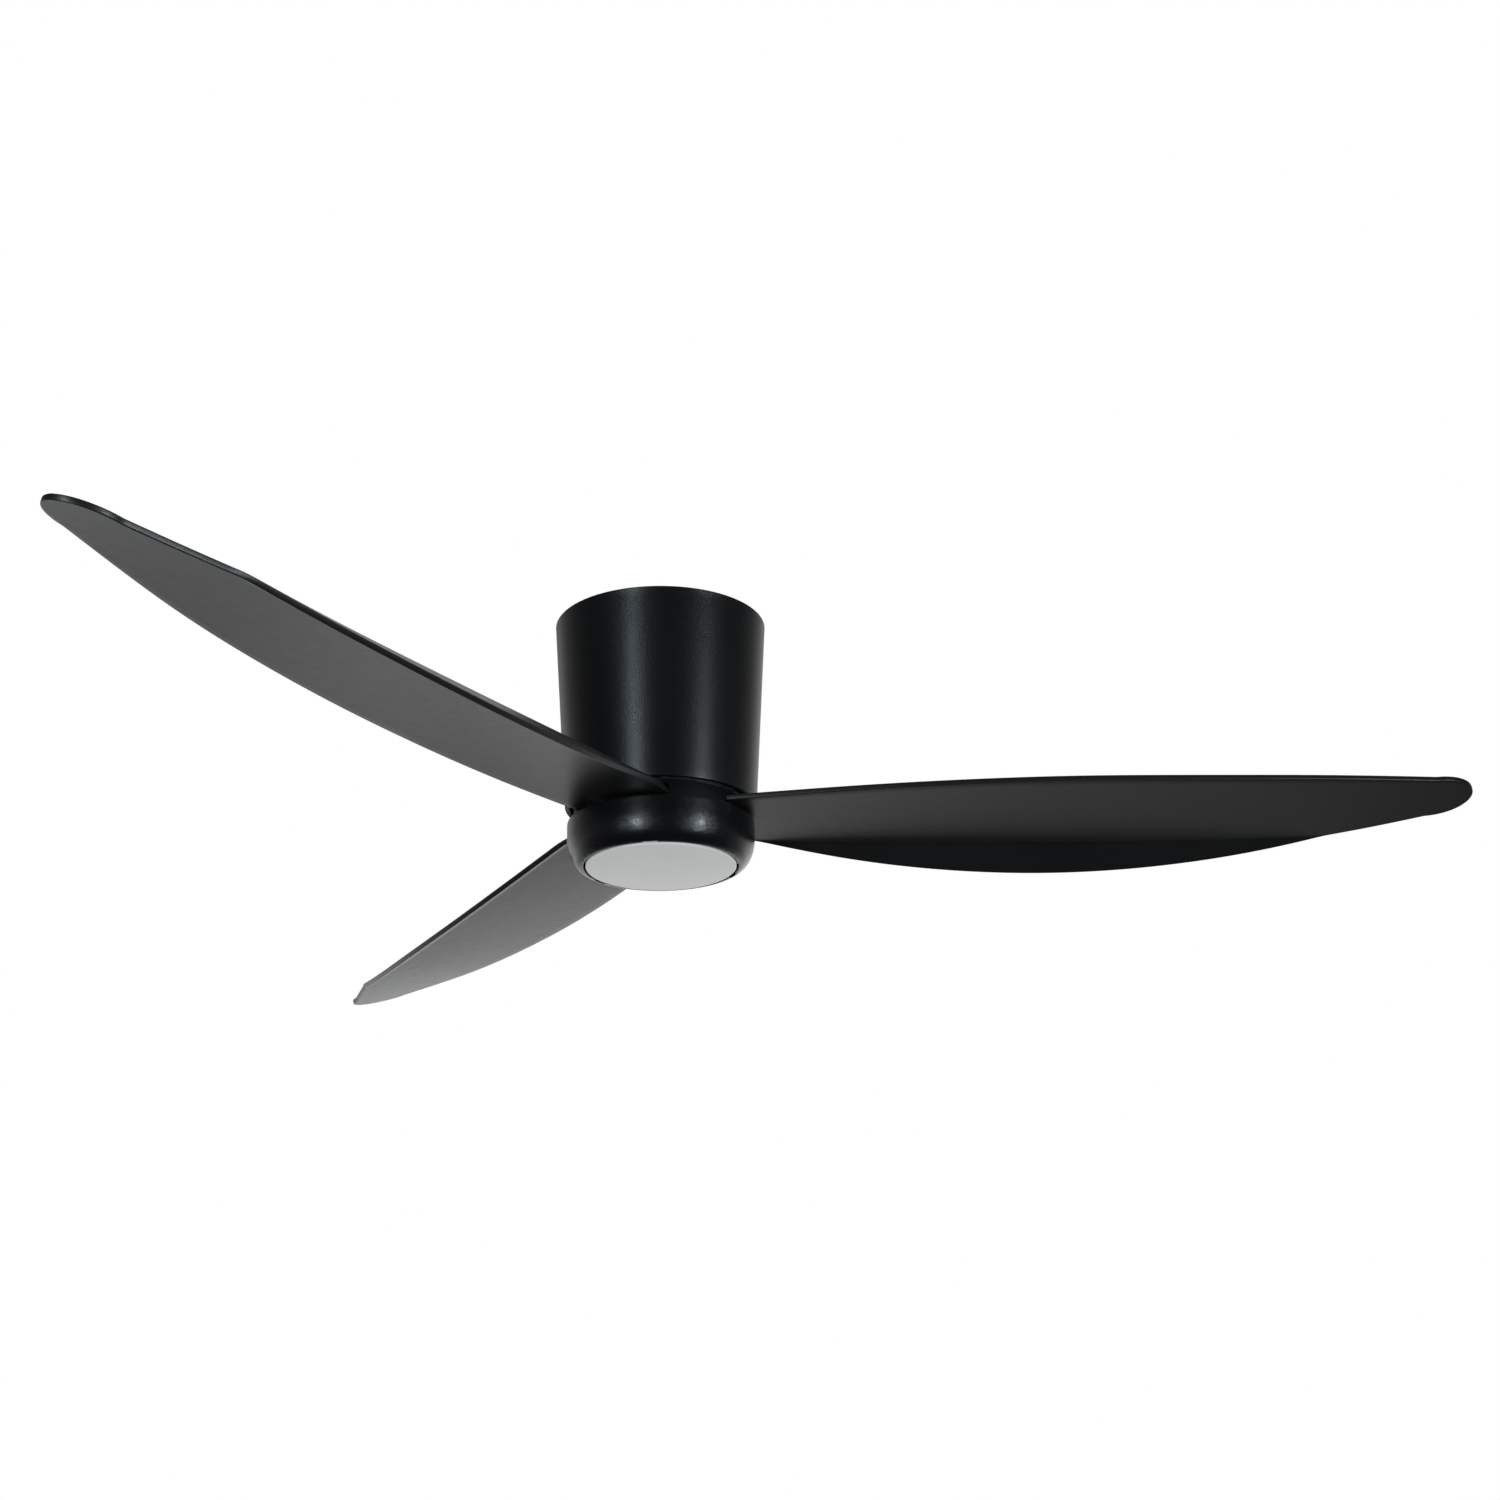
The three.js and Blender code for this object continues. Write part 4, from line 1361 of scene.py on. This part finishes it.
@dataclass
class LightPan:
    """The black ring round the light: rim, wall, large rounded corner, ledge and top plate.

    Attributes:
        shoulder: Radius of the rounded upper edge.
        rim: Thickness of the upper rim.
        chamfer: Slope of the rim's inner edge.
        wall_end: Height where the rounded corner begins.
        wall_rings: Faces down the wall.
        mouth: Radius of the opening for the diffuser.
        lip: Radius of the mouth's rounded edge.
        ledge: Thickness of the ledge under the diffuser's lugs.
        ledge_width: Width of that ledge.
        cove: Inset and height of points up the hollow inside the corner.
        skin: Thickness of the wall under the top plate.
        plate_top: Height of the top plate's upper face.
        plate: Thickness of the top plate.
        bore: Radius of the middle hole.
        post_angles: Where the light board's posts stand, in degrees.
        post_offset: Their distance from the axis.
        post: Radius of a post.
        post_end: Height of its foot.
        pin: Radius of the pin under a post.
        pin_ends: Heights of the pin's ends.
        screw_angles: Where the pan's screws go, in degrees.
        screw_offset: Their distance from the axis.
        screw_hole: Radius of their holes.
        notch_angles: Where the lugs' notches are, in degrees.
        notch_half: Half width of a notch.
        notch_reach: Distance of a notch's outer wall from the axis.
        notch_depth: Height of its roof above the ring's lower face.
    """

    shoulder: float = 1.6 * MM
    rim: float = 3 * MM
    chamfer: float = 0.6 * MM
    wall_end: float = -185 * MM
    wall_rings: int = 6
    mouth: float = 62 * MM
    lip: float = 0.5 * MM
    ledge: float = 2.8 * MM
    ledge_width: float = 2.7 * MM
    cove: tuple[Point, ...] = ((5.2 * MM, -198 * MM), (2.2 * MM, -187 * MM))
    skin: float = 2 * MM
    plate_top: float = -178 * MM
    plate: float = 1.8 * MM
    bore: float = 18 * MM
    post_angles: tuple[float, ...] = (90, 210, 330)
    post_offset: float = 48 * MM
    post: float = 3.6 * MM
    post_end: float = -192.1 * MM
    pin: float = 1.6 * MM
    pin_ends: Point = (-195.2 * MM, -190 * MM)
    screw_angles: tuple[float, ...] = (30, 150, 270)
    screw_offset: float = 26 * MM
    screw_hole: float = 2.3 * MM
    notch_angles: tuple[float, ...] = (25, 145, 265)
    notch_half: float = 6 * MM
    notch_reach: float = 64 * MM
    notch_depth: float = 3.8 * MM

    def __post_init__(self) -> None:
        """Reads the ring's size from the frame."""
        low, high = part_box("light_pan")
        self.low, self.high, self.radius = low.z, high.z, high.x
        self.plate_low = self.plate_top - self.plate

    def profile(self) -> list[Point]:
        """The closed section, from the inner edge of the rim outwards.

        Returns:
            Radius and height of each ring.
        """
        radius, lip, shoulder = self.radius, self.lip, self.shoulder
        inner, start = self.mouth + lip, self.high - shoulder
        corner = arc((inner, self.wall_end), (radius - inner, self.low - self.wall_end), 0, 90, 26)
        wall = [
            (radius, start + (self.wall_end - start) * i / self.wall_rings)
            for i in range(1, self.wall_rings)
        ]
        return [
            (radius - self.rim, self.high - self.chamfer),
            (radius - self.rim + self.chamfer, self.high),
            *arc((radius - shoulder, start), (shoulder, shoulder), 90, 0, 8),
            *wall, *corner,
            *arc((inner, self.low + lip), (lip, lip), 270, 180, 4)[1:],
            (self.mouth, self.low + self.ledge),
            (self.mouth + self.ledge_width, self.low + self.ledge),
            *[(radius - inset, height) for inset, height in self.cove],
            (radius - self.skin, self.plate_low), (self.bore, self.plate_low),
            (self.bore, self.plate_top), (radius - self.rim, self.plate_top),
        ]

    def posts(self) -> list[Piece]:
        """The light board's posts and the pins under them.

        Returns:
            The posts and pins.
        """
        pieces = []
        for angle in self.post_angles:
            foot = around(self.post_offset, angle, self.post_end)
            head = around(self.post_offset, angle, self.plate_low + 0.5 * MM)
            pieces.append(bar("post", self.post, foot, head))
            low, high = (around(self.post_offset, angle, end) for end in self.pin_ends)
            pieces.append(bar("pin", self.pin, low, high))
        return pieces

    def cutters(self) -> list[Piece]:
        """The cutters for the screw holes and the lugs' notches.

        Returns:
            The cutters.
        """
        pieces = []
        for angle in self.screw_angles:
            low = around(self.screw_offset, angle, self.plate_low - MM)
            high = around(self.screw_offset, angle, self.plate_top + MM)
            pieces.append(bar("drill", self.screw_hole, low, high))
        for angle in self.notch_angles:
            low = Vector((self.mouth - 4 * MM, -self.notch_half, self.low - MM))
            high = Vector((self.notch_reach, self.notch_half, self.low + self.notch_depth))
            pieces.append(block("notch", low, high, angle))
        return pieces

    def build(self, paint: Paintbox) -> None:
        """Builds and dresses the pan with its posts, screw holes and notches.

        Args:
            paint: The finishes.
        """
        pan = turn("light_ring", self.profile(), 256)
        combine(pan, self.posts(), "UNION")
        combine(pan, self.cutters())
        smooth(pan, 35)
        hand_over(pan, Body.CANOPY, "light_ring_black", paint, ["light_pan"])


@dataclass
class Diffuser:
    """The opal dish: a shallow dome with a rounded rim, a short wall and three lugs.

    Attributes:
        radius: Outer radius.
        wall: Thickness.
        rim: Radius of the rounded lower edge.
        dome: How far the middle stands below the rim's flat.
        rings: Faces from the middle to the rim.
        lug: How far a lug reaches beyond the wall.
        lug_root: How far it reaches into the wall.
        lug_width: Width of a lug.
        lug_span: Depths of a lug's lower and upper face below the wall's top.
    """

    radius: float = 60.4 * MM
    wall: float = 1.8 * MM
    rim: float = 1.5 * MM
    dome: float = 2.0 * MM
    rings: int = 24
    lug: float = 3.1 * MM
    lug_root: float = 1.4 * MM
    lug_width: float = 10 * MM
    lug_span: Point = (2.4 * MM, 0.8 * MM)

    def build(self, paint: Paintbox) -> None:
        """Builds and dresses the dish.

        Args:
            paint: The finishes.
        """
        low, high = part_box("diffuser")
        flat = self.radius - self.rim
        shares = [i / self.rings for i in range(self.rings + 1)]
        outside = [(flat * share, low.z + self.dome * share**2) for share in shares]
        rim_centre = (flat, low.z + self.dome + self.rim)
        inside = [(radius, height + self.wall) for radius, height in reversed(outside[:-1])]
        profile = [
            *outside, *arc(rim_centre, (self.rim, self.rim), -80, 0, 8),
            (self.radius, high.z), (self.radius - self.wall, high.z), *inside,
        ]
        dish = turn("opal_dish", profile, 192)
        lugs = []
        for angle in (0, 120, 240):
            half, (deep, shallow) = self.lug_width / 2, self.lug_span
            inner = Vector((self.radius - self.lug_root, -half, high.z - deep))
            outer = Vector((self.radius + self.lug, half, high.z - shallow))
            lugs.append(block("lug", inner, outer, angle))
        combine(dish, lugs, "UNION")
        smooth(dish, 35)
        hand_over(dish, Body.DIFFUSER, "opal_diffuser", paint, ["diffuser"])


# ---------- studio ----------


@dataclass(frozen=True)
class Softbox:
    """One soft light aimed at the fan's middle.

    Attributes:
        name: The light's name.
        place: Where it hangs.
        size: Its width and height.
        power: Its power in watts.
        tint: Its colour.
    """

    name: str
    place: tuple[float, float, float]
    size: Point
    power: float
    tint: Colour

    def hang(self, target: Vector) -> None:
        """Hangs the light.

        Args:
            target: The point that it's aimed at.
        """
        data = bpy.data.lights.new(self.name, "AREA")
        data.shape = "RECTANGLE"
        data.size, data.size_y = self.size
        data.energy = self.power
        data.color = self.tint
        light = bpy.data.objects.new(self.name, data)
        bpy.context.scene.collection.objects.link(light)
        light.location = self.place
        aim = target - Vector(self.place)
        light.rotation_euler = aim.to_track_quat("-Z", "Y").to_euler()


@dataclass
class Studio:
    """Pale floor, soft light from both sides and above, and the camera below the fan.

    Attributes:
        room_height: Distance from the ceiling down to the floor.
        floor_size: Length of the floor's sides.
        floor_glow: How much the floor shines by itself, so that it stays pale.
        distance: Distance of the camera from the fan's axis, level.
        drop: Camera height below the ceiling.
        azimuth: Turn of the camera about the fan from -Y, in degrees.
        pan: Turn of its aim away from the axis, in degrees.
        tilt: Upward aim, in degrees.
        roll: Roll about its aim, in degrees.
        lens: Focal length in millimetres.
        sensor: Width of the sensor in millimetres.
        shift: Sideways and upward shift of the frame.
        target: The point that the lights are aimed at.
        lights: The soft lights.
        by_height: Brightness of what gloss reflects, over a direction's share along Z.
        by_depth: The same along Y, multiplied with it.
        by_side: The same along X, multiplied with both.
        soft_by_height: Brightness of the soft light that falls on the fan, along Z.
    """

    room_height: float = 5.0
    floor_size: float = 300
    floor_glow: float = 0.62
    distance: float = 1.8148
    drop: float = 0.8039
    azimuth: float = 2.83
    pan: float = 3.615
    tilt: float = 22.133
    roll: float = 1.507
    lens: float = 57.115
    sensor: float = 36.0
    shift: Point = (-0.03333, -0.03333)
    target: tuple[float, float, float] = (0, 0, -0.1)
    lights: tuple[Softbox, ...] = (
        Softbox("left_strip", (-1.12, -2.26, -0.36), (0.28, 2.1), 25, (0.79, 0.91, 1.0)),
        Softbox("right_strip", (1.98, -1.62, -0.50), (0.28, 1.9), 23, (0.80, 0.92, 1.0)),
        Softbox("left_core", (-1.10, -2.2, -0.46), (0.24, 0.30), 3.8, (0.88, 0.95, 1.0)),
        Softbox("right_core", (1.9, -1.6, -0.46), (0.24, 0.30), 5, (0.92, 0.97, 1.0)),
        Softbox("overhead", (0.2, 1.0, 2.4), (4.0, 4.0), 25, (1.0, 1.0, 1.0)),
    )
    by_height: tuple[Point, ...] = (
        (-1.0, 0.03), (-0.85, 0.06), (-0.6, 0.22), (-0.3, 0.95), (-0.1, 1.8),
        (0.1, 1.5), (0.3, 0.95), (0.5, 0.22), (0.75, 0.25), (1.0, 0.9),
    )
    by_depth: tuple[Point, ...] = (
        (-1.0, 0.02), (-0.3, 0.06), (0.1, 0.12), (0.5, 0.35), (0.85, 1.0),
    )
    by_side: tuple[Point, ...] = (
        (-1.0, 0.8), (-0.6, 0.8), (-0.35, 0.45), (-0.1, 0.85), (0.1, 1.0), (0.5, 0.75), (1.0, 0.5),
    )
    soft_by_height: tuple[Point, ...] = ((-1.0, 0.58), (-0.3, 0.40), (0.2, 0.16), (1.0, 0.3))

    def camera(self) -> None:
        """Sets up the camera."""
        data = bpy.data.cameras.new("camera")
        data.lens = self.lens
        data.sensor_width = self.sensor
        data.shift_x, data.shift_y = self.shift
        data.clip_start = 0.05
        camera = bpy.data.objects.new("camera", data)
        bpy.context.scene.collection.objects.link(camera)
        aim = math.radians(self.pan)
        tilt = math.radians(self.tilt)
        forward = Vector(
            (math.sin(aim) * math.cos(tilt), math.cos(aim) * math.cos(tilt), math.sin(tilt))
        )
        right = Vector((math.cos(aim), -math.sin(aim), 0))
        up = right.cross(forward)
        roll = math.radians(self.roll)
        level = right * math.cos(-roll) + up * math.sin(-roll)
        above = up * math.cos(-roll) - right * math.sin(-roll)
        basis = Matrix((level, above, -forward)).transposed().to_4x4()
        place = Matrix.Translation((0, -self.distance, -self.drop)) @ basis
        camera.matrix_world = Matrix.Rotation(math.radians(self.azimuth), 4, "Z") @ place
        bpy.context.scene.camera = camera

    def floor(self) -> None:
        """Lays the pale floor."""
        deselect_all()
        place = (0, 0, -self.room_height)
        bpy.ops.mesh.primitive_plane_add(size=self.floor_size, location=place)
        floor = name_new_piece("floor")
        sheet = Sheet("pale_floor")
        patches = sheet.span(sheet.noise(0.5), 0, 1)
        sheet.set(
            Base_Color=sheet.blend(patches, (0.80, 0.80, 0.80), (0.84, 0.84, 0.84)),
            Roughness=0.9,
            Emission_Color=(1.0, 1.0, 1.0, 1.0),
            Emission_Strength=self.floor_glow,
        )
        floor.data.materials.append(sheet.material)
        floor.visible_glossy = False
        floor.visible_diffuse = False

    def world(self) -> None:
        """Lights the room: bright low behind the fan, dim elsewhere, white to the camera."""
        world = bpy.data.worlds.new("studio")
        bpy.context.scene.world = world
        world.use_nodes = True
        tree = world.node_tree
        tree.nodes.clear()
        links = tree.links
        way = tree.nodes.new("ShaderNodeTexCoord")
        split = tree.nodes.new("ShaderNodeSeparateXYZ")
        links.new(way.outputs["Generated"], split.inputs[0])
        glow = self.curve(tree, split.outputs["Z"], self.by_height)
        for axis, stops in (("Y", self.by_depth), ("X", self.by_side)):
            product = tree.nodes.new("ShaderNodeMath")
            product.operation = "MULTIPLY"
            links.new(glow, product.inputs[0])
            links.new(self.curve(tree, split.outputs[axis], stops), product.inputs[1])
            glow = product.outputs[0]
        soft = self.curve(tree, split.outputs["Z"], self.soft_by_height)
        path = tree.nodes.new("ShaderNodeLightPath")
        shader = self.backdrop(tree, glow, (0.98, 0.99, 1.0))
        for ray, strength in (("Is Diffuse Ray", soft), ("Is Camera Ray", None)):
            mix = tree.nodes.new("ShaderNodeMixShader")
            links.new(path.outputs[ray], mix.inputs[0])
            links.new(shader, mix.inputs[1])
            links.new(self.backdrop(tree, strength, (1.0, 1.0, 1.0)), mix.inputs[2])
            shader = mix.outputs[0]
        links.new(shader, tree.nodes.new("ShaderNodeOutputWorld").inputs[0])

    def backdrop(
        self, tree: bpy.types.NodeTree, strength: bpy.types.NodeSocket | None, tint: Colour
    ) -> bpy.types.NodeSocket:
        """One background of the room.

        Args:
            tree: The world's node tree.
            strength: The brightness socket, or None for full strength.
            tint: Its colour.

        Returns:
            The background's shader socket.
        """
        node = tree.nodes.new("ShaderNodeBackground")
        node.inputs["Color"].default_value = (*tint, 1)
        if strength is not None:
            tree.links.new(strength, node.inputs["Strength"])
        return node.outputs[0]

    def curve(
        self, tree: bpy.types.NodeTree, value: bpy.types.NodeSocket, stops: Sequence[Point]
    ) -> bpy.types.NodeSocket:
        """A smooth run of brightness over a direction's share along one axis.

        Args:
            tree: The world's node tree.
            value: The share, -1 to 1.
            stops: Share and brightness pairs.

        Returns:
            The brightness socket.
        """
        spread = tree.nodes.new("ShaderNodeMapRange")
        spread.inputs["From Min"].default_value = -1.0
        tree.links.new(value, spread.inputs["Value"])
        ramp = tree.nodes.new("ShaderNodeValToRGB")
        ramp.color_ramp.interpolation = "EASE"
        for _ in stops[2:]:
            ramp.color_ramp.elements.new(0.5)
        for element, (share, level) in zip(ramp.color_ramp.elements, stops):
            element.position = (share + 1) / 2
            element.color = (level, level, level, 1)
        tree.links.new(spread.outputs[0], ramp.inputs[0])
        return ramp.outputs[0]

    def build(self) -> None:
        """Sets up camera, floor and lights."""
        bpy.context.scene.view_settings.view_transform = "Standard"
        self.camera()
        self.floor()
        self.world()
        for softbox in self.lights:
            softbox.hang(Vector(self.target))


def main() -> None:
    """Builds every sub-assembly in order."""
    logging.basicConfig(level=logging.INFO, format="%(name)s: %(message)s")
    paint = Paintbox()
    paint.dress_frame_nodes()
    Canopy().build(paint)
    BladeHub().build(paint)
    Blade().build(paint)
    LightPan().build(paint)
    Diffuser().build(paint)
    Studio().build()


if __name__ == "__main__":
    main()
